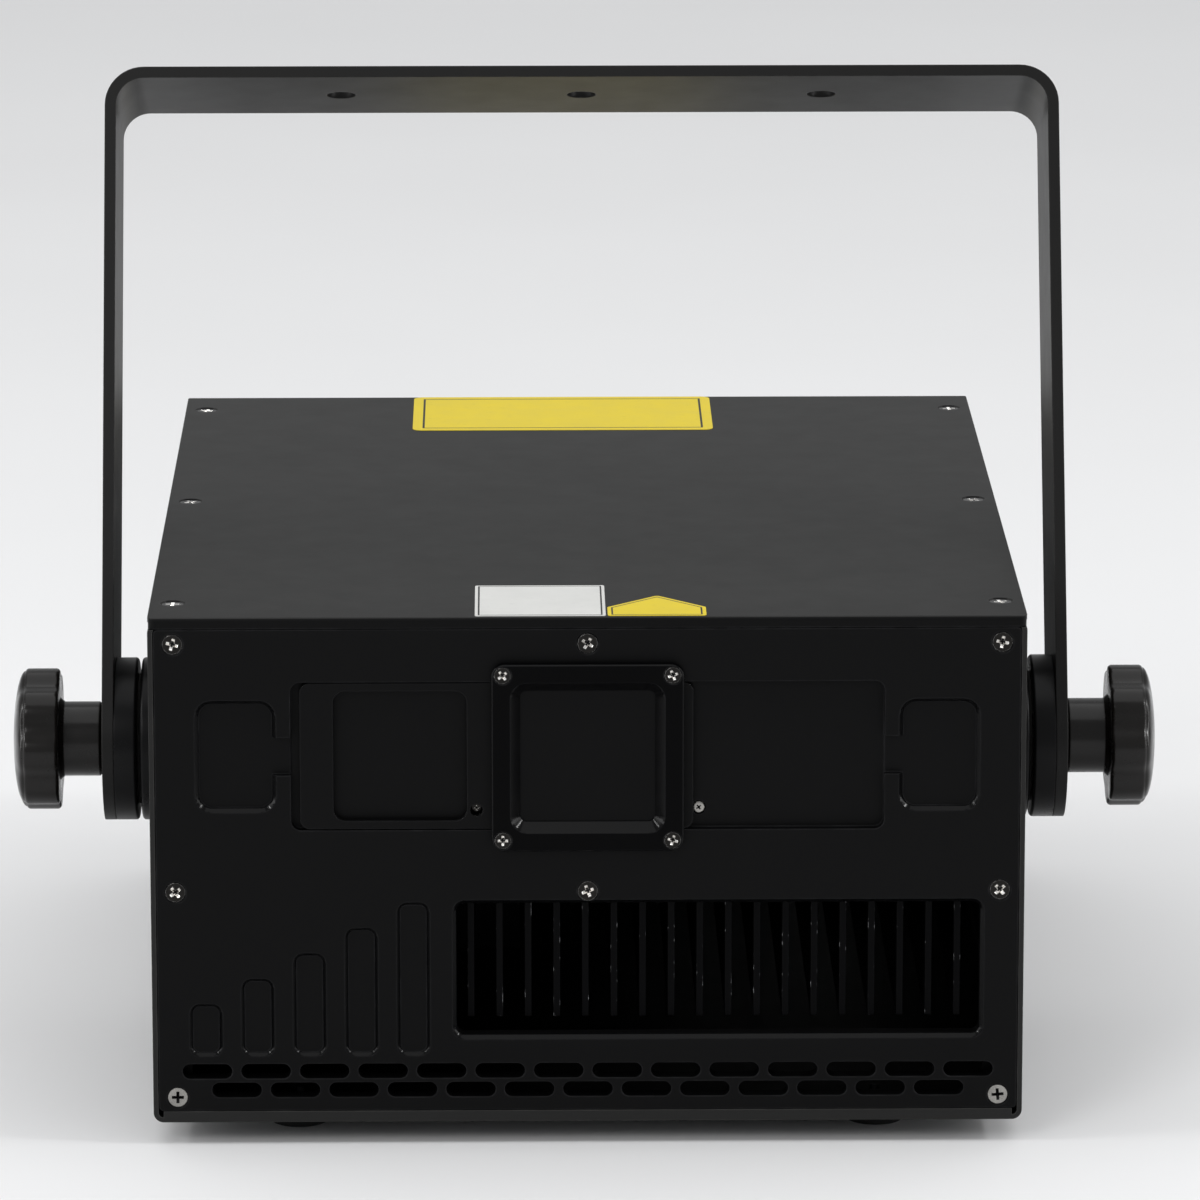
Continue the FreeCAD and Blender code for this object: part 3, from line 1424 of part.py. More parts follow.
def pivot_pieces(side):
    """Boss, friction disc, stud and knob of one side."""
    name = "right" if side > 0 else "left"
    facing = UPRIGHT if side > 0 else FreeCAD.Rotation(AXES["Z"], 180)
    edge = S.boss_edge
    boss_face = HALF_WIDTH + S.boss_thickness
    tip = HALF_WIDTH - S.sheet - S.spigot_length
    points = [(tip, STUD_HOLE), (boss_face, STUD_HOLE), (boss_face, S.boss_radius - edge)]
    points += [(boss_face - edge, S.boss_radius), (HALF_WIDTH, S.boss_radius)]
    points += [(HALF_WIDTH, S.spigot_radius), (tip, S.spigot_radius)]
    at_pivot(turned("boss_" + name, points), "pivot_boss_" + name, facing)

    near = boss_face + S.washer_thickness + S.running_gap
    points = [(near, S.arm_hole_radius), (ARM_INSIDE, S.arm_hole_radius), (ARM_INSIDE, S.boss_radius)]
    points += [(near + edge, S.boss_radius), (near, S.boss_radius - edge)]
    at_pivot(turned("disc_" + name, points), "friction_disc_" + name, facing)

    seat = ARM_OUTSIDE + S.knob_gap
    bore_end = seat + S.knob_bore_depth
    points = [(tip, 0), (bore_end, 0), (bore_end, S.stud_radius), (tip, S.stud_radius)]
    at_pivot(turned("stud_" + name, points), "knob_stud_" + name, facing)
    at_pivot(knob("knob_" + name, seat), "knob_" + name, facing)


def knob(name, seat):
    """Shank, lobed rim and domed face, with a blind bore for the stud."""
    rim = seat + S.knob_shank_length
    shoulder = rim + S.knob_rim
    crest = shoulder + S.knob_dome
    edge = S.knob_edge
    bore_end = seat + S.knob_bore_depth
    bore = S.stud_radius + S.bearing_clearance
    reach = S.knob_radius - edge
    rise = S.knob_dome - edge
    dome = (reach * reach + rise * rise) / (rise * 2)
    points = [(bore_end, 0), (crest, 0), (shoulder + edge, reach, dome), (shoulder, S.knob_radius)]
    points += [(rim + edge, S.knob_radius), (rim, reach), (rim, S.knob_shank_radius)]
    points += [(seat, S.knob_shank_radius), (seat, bore), (bore_end, bore)]
    body = turned(name, points)
    scallop = new_sketch(body, "YZ_Plane", name + "_scallop", crest + S.cut_overrun)
    add_circle(scallop, S.knob_radius + S.scallop_radius - S.scallop_depth, 0, S.scallop_radius)
    first = pocket(body, scallop, S.knob_rim + S.knob_dome + S.cut_overrun * 2)
    repeat_round(body, first, "X_Axis", S.knob_lobes)
    return body


def pivot_rings():
    """Friction washers on the bosses, and the nuts that hold the bosses to the walls."""
    boss_face = HALF_WIDTH + S.boss_thickness
    outer = boss_face + S.washer_thickness
    points = [(boss_face, STUD_HOLE), (outer, STUD_HOLE), (outer, S.washer_radius)]
    points.append((boss_face, S.washer_radius))
    washer = turned("washer", points)
    spin = FreeCAD.Rotation(AXES["Z"], 180)
    both = [(0, PIVOT_Y, PIVOT_Z, turn) for turn in (UPRIGHT, spin)]
    group("friction_washers", washer, both)

    body = new_body("boss_nut")
    hexagon = new_sketch(body, "YZ_Plane", "nut_hexagon", HALF_WIDTH - S.sheet)
    sixth = math.pi / 3
    ring = [(S.boss_nut_radius * math.cos(sixth * step), S.boss_nut_radius * math.sin(sixth * step))
            for step in range(6)]
    add_profile(hexagon, ring)
    pad(body, hexagon, S.boss_nut_thickness, reverse=True)
    hole = new_sketch(body, "YZ_Plane", "nut_hole", HALF_WIDTH - S.sheet)
    add_circle(hole, 0, 0, S.spigot_radius + S.screw_clearance)
    pocket(body, hole, S.boss_nut_thickness + S.cut_overrun)
    group("boss_nuts", body, both)


# Rear panel and what it carries

def rear_panel():
    """Sheet panel with cut-outs for the sockets, controls and fan."""
    body = new_body("rear_panel")
    plate = new_sketch(body, "XZ_Plane", "rear_plate", -FRONT)
    add_outline(plate, rectangle(*panel_edges(), S.panel_corner))
    pad(body, plate, S.sheet)

    depth = S.sheet + S.cut_overrun
    gap = S.seam
    cuts = new_sketch(body, "XZ_Plane", "socket_cuts", -REAR_INSIDE)
    add_outline(cuts, centred(INLET_X, S.inlet_height, S.inlet_body_length + gap * 2,
                              S.inlet_body_width + gap * 2))
    add_outline(cuts, centred(SWITCH_X, S.inlet_height, S.switch_body_length + gap * 2,
                              S.switch_body_width + gap * 2))
    add_outline(cuts, centred(DISPLAY_X, DISPLAY_Z, S.display_length + gap * 2,
                              S.display_width + gap * 2, S.display_corner + gap))
    add_outline(cuts, centred(SIGNAL_X, SIGNAL_Z, S.signal_shell_length + gap * 2,
                              S.signal_shell_width + gap * 2))
    for x in (DATA_INPUT_X, DATA_OUTPUT_X):
        add_circle(cuts, x, DATA_Z, S.data_body_radius + gap)
    add_circle(cuts, KEY_X, KEY_Z, S.key_body_radius + gap)
    for x in button_places():
        add_circle(cuts, x, BUTTON_Z, S.button_radius + S.button_clearance)
    for x, z in fan_screw_places():
        add_circle(cuts, x, z, SMALL_HOLE)
    for x, z in panel_screw_places():
        add_circle(cuts, x, z, SCREW_HOLE)
    pocket(body, cuts, depth)

    grille = new_sketch(body, "XZ_Plane", "fan_grille", -REAR_INSIDE)
    lowest = FAN_Z - S.grille_pitch * (S.grille_slots - 1) / 2
    add_slot(grille, FAN_X, lowest, S.grille_length, S.grille_width)
    first = pocket(body, grille, depth)
    repeat_along(body, first, "Z_Axis", S.grille_pitch, S.grille_slots)
    finish(body, "rear_panel")


def fan():
    """Square fan: a frame with a bored duct and a motor hub on struts, and a bladed rotor."""
    body = new_body("fan_frame")
    face = -REAR_INSIDE
    x, z = FAN_X, FAN_Z
    frame = new_sketch(body, "XZ_Plane", "fan_square", face)
    add_outline(frame, centred(x, z, S.fan_size, S.fan_size, S.fan_corner))
    pad(body, frame, S.fan_depth)
    duct = new_sketch(body, "XZ_Plane", "fan_duct", face + S.fan_depth)
    add_circle(duct, x, z, S.fan_bore_radius)
    for hole_x, hole_z in fan_screw_places():
        add_circle(duct, hole_x, hole_z, SMALL_HOLE)
    pocket(body, duct, S.fan_depth + S.cut_overrun)
    inner = face + S.fan_depth - S.fan_hub_thickness
    hub = new_sketch(body, "XZ_Plane", "fan_hub", inner)
    reach = S.fan_bore_radius + S.fan_hub_thickness / 2
    half = S.fan_strut_width / 2
    cross = [(half, half), (half, reach), (-half, reach), (-half, half), (-reach, half), (-reach, -half),
             (-half, -half), (-half, -reach), (half, -reach), (half, -half), (reach, -half), (reach, half)]
    add_outline(hub, [(x + across, z + up) for across, up in cross])
    pad(body, hub, S.fan_hub_thickness)
    plate = new_sketch(body, "XZ_Plane", "fan_hub_plate", inner)
    add_circle(plate, x, z, S.fan_hub_radius)
    pad(body, plate, S.fan_hub_thickness)
    shaft = S.fan_shaft_radius + S.bearing_clearance
    hole = new_sketch(body, "XZ_Plane", "fan_shaft_hole", inner + S.fan_hub_thickness)
    add_circle(hole, x, z, shaft)
    pocket(body, hole, S.fan_hub_thickness + S.cut_overrun)
    finish(body, "fan_frame")
    fan_rotor()


def fan_rotor():
    """Hub, shaft and twisted blades, drawn about the Y axis with the outlet end at the rear panel."""
    body = new_body("fan_rotor")
    span = S.fan_depth - S.fan_hub_thickness - S.fan_end_gap * 2
    hub = new_sketch(body, "XZ_Plane", "rotor_hub")
    add_circle(hub, 0, 0, S.fan_hub_radius)
    pad(body, hub, span)
    shaft = new_sketch(body, "XZ_Plane", "rotor_shaft", span)
    add_circle(shaft, 0, 0, S.fan_shaft_radius)
    pad(body, shaft, S.fan_end_gap + S.fan_hub_thickness)
    sections = []
    inner = S.fan_hub_radius - S.blade_thickness
    outer = S.fan_bore_radius - S.fan_tip_gap
    ends = ((inner, S.blade_root, S.blade_root_offset), (outer, S.blade_tip, S.blade_tip_offset))
    for reach, chord, offset in ends:
        section = new_sketch(body, "YZ_Plane", "blade_section", reach)
        low = -span / 2 - chord / 2
        high = -span / 2 + chord / 2
        thick = S.blade_thickness
        points = [(low, -offset), (low + thick, -offset - thick), (high, offset - thick)]
        points.append((high - thick, offset))
        add_profile(section, points)
        sections.append(section)
    blade = body.newObject("PartDesign::AdditiveLoft", "Blade")
    blade.Profile = sections[0]
    blade.Sections = sections[1:]
    blade.Ruled = True
    repeat_round(body, blade, "Y_Axis", S.fan_blades)
    finish(body, "fan_rotor", FAN_X, REAR_INSIDE - S.fan_end_gap, FAN_Z)


def power_inlet():
    """Three-pin mains inlet with a flange outside and an open cavity."""
    body = new_body("power_inlet")
    x, z = INLET_X, S.inlet_height
    face = -FRONT - S.inlet_flange
    flange = new_sketch(body, "XZ_Plane", "inlet_flange", face)
    add_outline(flange, centred(x, z, S.inlet_flange_length, S.inlet_flange_width, S.inlet_corner))
    pad(body, flange, S.inlet_flange)
    shell = new_sketch(body, "XZ_Plane", "inlet_shell", -FRONT)
    add_outline(shell, centred(x, z, S.inlet_body_length, S.inlet_body_width))
    pad(body, shell, S.inlet_depth)
    cavity = new_sketch(body, "XZ_Plane", "inlet_cavity", face)
    corners = centred(x, z, S.inlet_cavity_length, S.inlet_cavity_width, S.inlet_corner)
    add_outline(cavity, corners)
    pocket(body, cavity, S.inlet_cavity_depth, reverse=True)
    pins = new_sketch(body, "XZ_Plane", "inlet_pins", face + S.inlet_cavity_depth)
    for step, rise in ((-1, -1), (0, 1), (1, -1)):
        middle = x + S.inlet_pin_spacing * step
        level = z + S.inlet_pin_offset * rise
        add_outline(pins, centred(middle, level, S.inlet_pin_width, S.inlet_pin_height))
    pad(body, pins, S.inlet_pin_length, reverse=True)
    finish(body, "power_inlet")


def power_switch():
    """Snap-in switch body with an open well, and the rocker that tips in it on two stub pins."""
    body = new_body("power_switch")
    x, z = SWITCH_X, S.inlet_height
    face = -FRONT - S.switch_flange
    flange = new_sketch(body, "XZ_Plane", "switch_flange", face)
    add_outline(flange, centred(x, z, S.switch_flange_length, S.switch_flange_width, S.panel_corner))
    pad(body, flange, S.switch_flange)
    shell = new_sketch(body, "XZ_Plane", "switch_shell", -FRONT)
    add_outline(shell, centred(x, z, S.switch_body_length, S.switch_body_width))
    pad(body, shell, S.switch_depth)
    well = new_sketch(body, "XZ_Plane", "switch_well", face)
    gap = S.rocker_gap * 2
    add_outline(well, centred(x, z, S.rocker_length + gap, S.rocker_width + gap))
    pocket(body, well, S.rocker_well, reverse=True)
    axle = new_sketch(body, "XZ_Plane", "rocker_axle_slot", face)
    bearing = S.rocker_pin_radius + S.bearing_clearance
    add_outline(axle, centred(x, z, bearing * 2, S.switch_body_width - S.sheet))
    pocket(body, axle, S.switch_flange + bearing, reverse=True)
    finish(body, "power_switch")
    power_rocker()


def power_rocker():
    """Two flat paddles that meet in a shallow valley, drawn about the pin axis along Z, one end out."""
    body = new_body("power_rocker")
    half = S.rocker_length / 2
    valley = S.switch_flange + S.rocker_stand
    tip = valley + S.rocker_rise
    under = tip - S.rocker_edge
    keel = -S.rocker_pin_radius - S.rocker_gap
    outline = new_sketch(body, "XY_Plane", "rocker_outline")
    points = [(0, keel), (half - S.rocker_trim, under), (half, tip), (0, valley), (-half, tip)]
    points.append((S.rocker_trim - half, under))
    add_profile(outline, points)
    pad(body, outline, S.rocker_width, both_ways=True)
    pins = new_sketch(body, "XY_Plane", "rocker_pins")
    add_circle(pins, 0, 0, S.rocker_pin_radius)
    pad(body, pins, S.switch_body_width - S.sheet - S.rocker_gap, both_ways=True)
    leaning = FreeCAD.Rotation(-AXES["Z"], S.rocker_tilt_degrees.value)
    finish(body, "power_rocker", SWITCH_X, FRONT, S.inlet_height, leaning)
    body.setExpression("Placement.Rotation.Angle", S.rocker_tilt_degrees.text)


def key_switch():
    """Round lock body with a bezel outside, and the barrel that turns in it."""
    tip = -S.key_body_length
    bore = S.key_barrel_radius + S.key_clearance
    well = S.key_stand - S.key_barrel_length - S.key_clearance
    body = new_body("key_switch")
    half = new_sketch(body, "XY_Plane", "key_half")
    points = [(0, tip), (S.key_body_radius, tip), (S.key_body_radius, 0), (S.key_bezel_radius, 0)]
    points += [(S.key_bezel_radius, S.key_stand - S.key_edge), (S.key_bezel_radius - S.key_edge, S.key_stand)]
    points += [(bore, S.key_stand), (bore, well), (0, well)]
    add_profile(half, points)
    revolve(body, half, "V_Axis")
    finish(body, "key_switch", KEY_X, FRONT, KEY_Z)

    start = (0, S.key_stand - S.key_barrel_length, 0)
    barrel = cylinder("key_core", "Y", S.key_barrel_radius, start, S.key_barrel_length)
    side = S.key_slot_width / 2
    half_height = S.key_slot_height / 2
    low = (-side, S.key_stand - S.key_slot_depth, -half_height)
    slot = box("key_slot", low, (side, S.key_stand + S.cut_overrun, half_height))
    finish(cut("key_barrel", barrel, [slot]), "key_barrel", KEY_X, FRONT, KEY_Z)


def data_socket(label, x, cavity):
    """Round three-pole socket on a square flange, with an open cavity."""
    body = new_body(label)
    z = DATA_Z
    face = -FRONT - S.data_flange
    flange = new_sketch(body, "XZ_Plane", label + "_flange", face)
    add_outline(flange, centred(x, z, S.data_flange_width, S.data_flange_height, S.data_corner))
    pad(body, flange, S.data_flange)
    shell = new_sketch(body, "XZ_Plane", label + "_shell", -FRONT)
    add_circle(shell, x, z, S.data_body_radius)
    pad(body, shell, S.data_depth)
    hollow = new_sketch(body, "XZ_Plane", label + "_cavity", face)
    add_circle(hollow, x, z, S.data_cavity_radius)
    pocket(body, hollow, cavity, reverse=True)
    return body, face + cavity


def add_poles(sketch, x):
    """Three round poles on a circle, at left, right and below."""
    ring = S.data_pin_circle
    for across, up in ((-ring, lift(0)), (ring, lift(0)), (lift(0), -ring)):
        add_circle(sketch, x + across, DATA_Z + up, S.data_pin_radius)


def data_sockets():
    body, floor = data_socket("data_input", DATA_INPUT_X, S.data_input_cavity)
    pins = new_sketch(body, "XZ_Plane", "input_pins", floor)
    add_poles(pins, DATA_INPUT_X)
    pad(body, pins, S.data_pin_length, reverse=True)
    finish(body, "data_input")
    body, floor = data_socket("data_output", DATA_OUTPUT_X, S.data_output_cavity)
    holes = new_sketch(body, "XZ_Plane", "output_holes", floor)
    add_poles(holes, DATA_OUTPUT_X)
    pocket(body, holes, S.data_pin_hole_depth, reverse=True)
    finish(body, "data_output")


def signal_socket():
    """Multi-pole socket: flange, slanted shell and two jack posts."""
    body = new_body("signal_socket")
    x, z = SIGNAL_X, SIGNAL_Z
    face = -FRONT - S.signal_flange
    flange = new_sketch(body, "XZ_Plane", "signal_flange", face)
    add_outline(flange, centred(x, z, S.signal_flange_length, S.signal_flange_width, S.panel_corner))
    pad(body, flange, S.signal_flange)
    high = S.signal_shell_width / 2
    wide = S.signal_shell_length / 2
    narrow = S.signal_shell_narrow / 2
    shell = new_sketch(body, "XZ_Plane", "signal_shell", face)
    add_profile(shell, [(x - narrow, z - high), (x + narrow, z - high), (x + wide, z + high),
                        (x - wide, z + high)])
    pad(body, shell, S.signal_stand, reverse=True)
    posts = new_sketch(body, "XZ_Plane", "jack_posts", face)
    for side in (-1, 1):
        add_circle(posts, x + S.signal_post_spacing / 2 * side, z, S.signal_post_radius)
    pad(body, posts, S.signal_stand - S.signal_flange, reverse=True)
    back = new_sketch(body, "XZ_Plane", "signal_back", -FRONT)
    add_outline(back, centred(x, z, S.signal_shell_length, S.signal_shell_width))
    pad(body, back, S.signal_depth)
    finish(body, "signal_socket")


def display_window():
    """Tinted pane in the rear panel with a wider module behind it."""
    body = new_body("display_window")
    x, z = DISPLAY_X, DISPLAY_Z
    pane = new_sketch(body, "XZ_Plane", "display_pane", -FRONT - S.display_stand)
    add_outline(pane, centred(x, z, S.display_length, S.display_width, S.display_corner))
    pad(body, pane, S.display_stand + S.sheet + S.display_rim)
    module = new_sketch(body, "XZ_Plane", "display_module", -REAR_INSIDE)
    rim = S.display_rim * 2
    add_outline(module, centred(x, z, S.display_length + rim, S.display_width + rim))
    pad(body, module, S.control_board_gap)
    finish(body, "display_window")


def menu_buttons():
    """Round push buttons, each with a collar behind the panel and a stem to its key block."""
    stop = REAR_INSIDE - S.button_rest_gap
    block = CONTROL_BOARD_BACK + S.key_block_height
    stem_end = block + S.button_travel + S.button_rest_gap
    for number, x in enumerate(button_places(), start=1):
        label = f"menu_button_{number}"
        cap_start = (x, stop - S.button_collar / 2, BUTTON_Z)
        cap = cylinder(label + "_cap", "Y", S.button_radius, cap_start,
                       FRONT + S.button_stand - stop + S.button_collar / 2)
        collar_start = (x, stop - S.button_collar, BUTTON_Z)
        collar = cylinder(label + "_collar", "Y", S.button_collar_radius, collar_start, S.button_collar)
        stem = cylinder(label + "_stem", "Y", S.button_stem_radius, (x, stem_end, BUTTON_Z),
                        stop - S.button_collar / 2 - stem_end)
        finish(fuse(label, [cap, collar, stem]), label)


def build():
    chassis_tray()
    top_lid()
    front_panel()
    rubber_feet()
    aperture_bezel()
    shutter_slide()
    window_parts()
    heatsink()
    bench_rails()
    lasers()
    combining_mirrors()
    scanner()
    boards()
    power_supply()
    yoke()
    for side in (-1, 1):
        pivot_pieces(side)
    pivot_rings()
    rear_panel()
    fan()
    power_inlet()
    power_switch()
    key_switch()
    data_sockets()
    signal_socket()
    display_window()
    menu_buttons()
    screws()


def check():
    """Stops with the names of every object that failed and every piece without a sound solid."""
    doc.recompute()
    faults = []
    for thing in doc.Objects:
        if "Invalid" in thing.State or "Error" in thing.State:
            faults.append(f"{thing.Label}: {thing.State}")
    for piece in PARTS:
        shape = piece.Shape
        if shape.isNull() or not shape.isValid() or not shape.Solids:
            faults.append(f"{piece.Label}: no sound solid")
    if faults:
        raise RuntimeError("; ".join(faults))


def write():
    os.makedirs("parts", exist_ok=True)
    for piece in PARTS:
        piece.Shape.exportStep(os.path.join("parts", piece.Label + ".step"))


build()
check()
write()
print(len(PARTS), "pieces written")
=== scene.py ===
import json
import math

import bmesh
import bpy
from mathutils import Euler, Matrix, Vector

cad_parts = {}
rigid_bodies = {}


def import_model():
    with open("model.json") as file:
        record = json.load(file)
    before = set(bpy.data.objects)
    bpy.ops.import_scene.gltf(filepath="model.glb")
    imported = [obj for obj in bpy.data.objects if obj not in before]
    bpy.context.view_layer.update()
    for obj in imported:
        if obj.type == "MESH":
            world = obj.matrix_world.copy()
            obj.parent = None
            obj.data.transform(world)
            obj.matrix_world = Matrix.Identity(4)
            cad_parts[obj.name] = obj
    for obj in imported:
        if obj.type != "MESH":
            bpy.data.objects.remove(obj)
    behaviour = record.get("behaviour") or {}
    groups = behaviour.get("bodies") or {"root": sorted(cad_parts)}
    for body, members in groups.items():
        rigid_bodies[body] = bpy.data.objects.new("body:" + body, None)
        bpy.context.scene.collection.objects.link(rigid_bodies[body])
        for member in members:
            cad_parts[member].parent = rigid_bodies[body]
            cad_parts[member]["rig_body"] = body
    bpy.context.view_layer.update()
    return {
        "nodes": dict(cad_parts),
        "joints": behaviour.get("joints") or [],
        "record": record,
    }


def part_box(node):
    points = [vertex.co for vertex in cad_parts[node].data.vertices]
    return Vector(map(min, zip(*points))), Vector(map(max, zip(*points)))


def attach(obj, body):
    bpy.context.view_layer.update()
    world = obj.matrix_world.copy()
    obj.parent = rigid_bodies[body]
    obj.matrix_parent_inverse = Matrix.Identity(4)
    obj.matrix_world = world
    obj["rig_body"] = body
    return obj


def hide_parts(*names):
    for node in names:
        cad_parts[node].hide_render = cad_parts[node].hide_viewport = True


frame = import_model()
nodes = frame["nodes"]

# Metres in a millimetre, and what counts as one point, a sharp edge and a flat one
MM = 0.001
WELD = 0.001 * MM
SHARP = math.radians(32)
FLAT = math.radians(0.5)
PLACE_DIGITS = 5
SLOT_OF = {part["node"]: part["material_slot"] for part in frame["record"]["subparts"]}
JOINTS = {joint["name"]: joint for joint in frame["joints"]}


# Node helpers

# Where most values of a noise lie
NOISE_SPAN = (0.3, 0.7)
# Cosines between the true and the rounded normal, where an edge is full and where it ends
EDGE_COSINES = (0.75, 0.985)
EDGE_SAMPLES = 4
# Sockets of a mix node that hold colours
MIX_FIRST, MIX_SECOND, MIX_RESULT = 6, 7, 2


class Look:
    """A material with its shader and short ways to add nodes to it."""

    def __init__(self, name):
        self.material = bpy.data.materials.new(name)
        self.material.use_nodes = True
        self.tree = self.material.node_tree
        self.shader = self.tree.nodes["Principled BSDF"]
        self.place = self.tree.nodes.new("ShaderNodeTexCoord").outputs["Object"]

    def add(self, kind, links=None, values=None, **settings):
        """A node with its settings, its input values and the sockets that feed it."""
        node = self.tree.nodes.new(kind)
        for key, value in settings.items():
            setattr(node, key, value)
        for key, value in (values or {}).items():
            node.inputs[key].default_value = value
        for key, source in (links or {}).items():
            self.tree.links.new(source, node.inputs[key])
        return node

    def feed(self, **sources):
        """Links sockets to the shader's inputs, named with underscores for spaces."""
        for key, source in sources.items():
            self.tree.links.new(source, self.shader.inputs[key.replace("_", " ")])

    def set(self, **values):
        """Sets the shader's own inputs, named with underscores for spaces."""
        for key, value in values.items():
            self.shader.inputs[key.replace("_", " ")].default_value = value

    def noise(self, scale, detail=4.0, roughness=0.55, stretch=None):
        """Noise in the object's metres, drawn out along an axis if it has a stretch."""
        place = self.place
        if stretch:
            place = self.add("ShaderNodeMapping", {"Vector": place}, {"Scale": stretch}).outputs["Vector"]
        values = {"Scale": scale, "Detail": detail, "Roughness": roughness}
        return self.add("ShaderNodeTexNoise", {"Vector": place}, values).outputs["Fac"]

    def ramp(self, source, low, high, span=(0.0, 1.0)):
        """Maps a span of a value to a range from low to high."""
        start, end = span
        values = {"From Min": start, "From Max": end, "To Min": low, "To Max": high}
        return self.add("ShaderNodeMapRange", {"Value": source}, values).outputs["Result"]

    def blend(self, factor, first, second):
        """Mixes two colours, each a socket or a plain colour."""
        mix = self.add("ShaderNodeMix", {"Factor": factor}, data_type="RGBA")
        for index, colour in ((MIX_FIRST, first), (MIX_SECOND, second)):
            if isinstance(colour, tuple):
                mix.inputs[index].default_value = colour
            else:
                self.tree.links.new(colour, mix.inputs[index])
        return mix.outputs[MIX_RESULT]

    def tones(self, factor, colour, first, second):
        """Goes from one shade of a colour to another."""
        return self.blend(factor, shade(colour, first), shade(colour, second))

    def multiply(self, first, second):
        """The product of two values."""
        return self.add("ShaderNodeMath", {0: first, 1: second}, operation="MULTIPLY").outputs["Value"]

    def edges(self, radius):
        """One along sharp edges and zero on flats, with the rounded normal."""
        bevel = self.add("ShaderNodeBevel", None, {"Radius": radius}, samples=EDGE_SAMPLES)
        rounded = bevel.outputs["Normal"]
        normal = self.add("ShaderNodeNewGeometry").outputs["Normal"]
        dot = self.add("ShaderNodeVectorMath", {0: rounded, 1: normal}, operation="DOT_PRODUCT")
        return self.ramp(dot.outputs["Value"], low=1.0, high=0.0, span=EDGE_COSINES), rounded

    def rough(self, source, roughness, less, more):
        """Roughness that a noise takes a little below and above its usual value."""
        self.feed(Roughness=self.ramp(source, roughness - less, roughness + more, NOISE_SPAN))

    def bump(self, height, strength, distance, normal=None):
        """Small relief from a height, on top of another normal if one is given."""
        links = {"Height": height}
        if normal is not None:
            links["Normal"] = normal
        values = {"Strength": strength, "Distance": distance}
        self.feed(Normal=self.add("ShaderNodeBump", links, values).outputs["Normal"])


def shade(colour, factor):
    """A colour made lighter or darker, with full alpha."""
    return tuple(channel * factor for channel in colour[:3]) + (1.0,)


# Materials

def painted(name, colour, roughness, grain, gloss, edge_radius=0.5 * MM):
    """Powder coat or paint: mottled tone, fine orange peel, dulled patches and paler edges, partly wear and
    partly a painted highlight.
    """
    look = Look(name)
    tone = look.ramp(look.noise(scale=9.0, detail=6.0), low=0.0, high=1.0, span=NOISE_SPAN)
    body = look.tones(tone, colour, first=0.95, second=1.05)
    edge, rounded = look.edges(edge_radius)
    patches = look.ramp(look.noise(scale=160.0, detail=3.0), low=0.2, high=0.5, span=(0.4, 0.65))
    # Paler edges: partly worn paint, partly a painted highlight standing in for the gloss of rounded edges
    lighter_edges = look.multiply(edge, patches)
    look.feed(Base_Color=look.blend(lighter_edges, body, shade(colour, factor=22.0)))
    look.rough(look.noise(scale=90.0, detail=5.0), roughness, less=0.015, more=0.02)
    look.bump(look.noise(scale=1400.0, detail=2.0), strength=grain, distance=0.12 * MM, normal=rounded)
    look.set(Specular_IOR_Level=gloss)
    return look.material


def anodised(name, colour, roughness, gloss, direction):
    """Anodised metal: drawn-out brush lines under an even dark skin, with sparse bright spots along its
    edges, partly chips and partly painted glints.
    """
    # Colour of sparse bright spots along the edges: partly bare metal at chips, partly painted glints
    chip_glint_colour = (0.5, 0.5, 0.52, 1.0)
    look = Look(name)
    lines = look.noise(scale=700.0, detail=3.0, stretch=direction)
    body = look.tones(lines, colour, first=0.75, second=1.35)
    edge, rounded = look.edges(radius=0.4 * MM)
    chips_and_glints = look.ramp(look.noise(scale=330.0, detail=3.0), low=0.0, high=1.0, span=(0.62, 0.68))
    look.feed(Base_Color=look.blend(look.multiply(edge, chips_and_glints), body, chip_glint_colour))
    look.rough(lines, roughness, less=0.07, more=0.07)
    look.bump(lines, strength=0.12, distance=0.05 * MM, normal=rounded)
    look.set(Specular_IOR_Level=gloss)
    return look.material


def turned(name, colour, roughness, gloss, centre):
    """Metal turned on a lathe about a line along X: fine rings with a little run-out."""
    look = Look(name)
    away = [-value for value in centre]
    place = look.add("ShaderNodeMapping", {"Vector": look.place}, {"Location": away})
    values = {"Scale": 420.0, "Distortion": 0.6, "Detail": 2.0}
    rings = look.add("ShaderNodeTexWave", {"Vector": place.outputs["Vector"]}, values,
                     wave_type="RINGS", rings_direction="X").outputs["Fac"]
    body = look.tones(rings, colour, first=0.8, second=1.3)
    edge, rounded = look.edges(radius=0.5 * MM)
    lighter_edges = look.multiply(edge, look.noise(scale=200.0))
    look.feed(Base_Color=look.blend(lighter_edges, body, shade(colour, factor=6.0)))
    look.rough(look.noise(scale=60.0), roughness, less=0.05, more=0.08)
    look.bump(rings, strength=0.1, distance=0.04 * MM, normal=rounded)
    look.set(Metallic=0.25, Specular_IOR_Level=gloss)
    return look.material


def moulded(name, colour, roughness, grain, gloss, coat=0.0):
    """Moulded plastic: flow tone, faint pebble and rubbed patches."""
    look = Look(name)
    body = look.tones(look.noise(scale=30.0, detail=5.0), colour, first=0.8, second=1.3)
    edge, rounded = look.edges(radius=0.6 * MM)
    lighter_edges = look.multiply(edge, look.noise(scale=150.0))
    look.feed(Base_Color=look.blend(lighter_edges, body, shade(colour, factor=3.0)))
    look.rough(look.noise(scale=120.0, detail=6.0), roughness, less=0.06, more=0.1)
    look.bump(look.noise(scale=900.0, detail=2.0), strength=grain, distance=0.08 * MM, normal=rounded)
    look.set(Specular_IOR_Level=gloss, Coat_Weight=coat, Coat_Roughness=0.12)
    return look.material


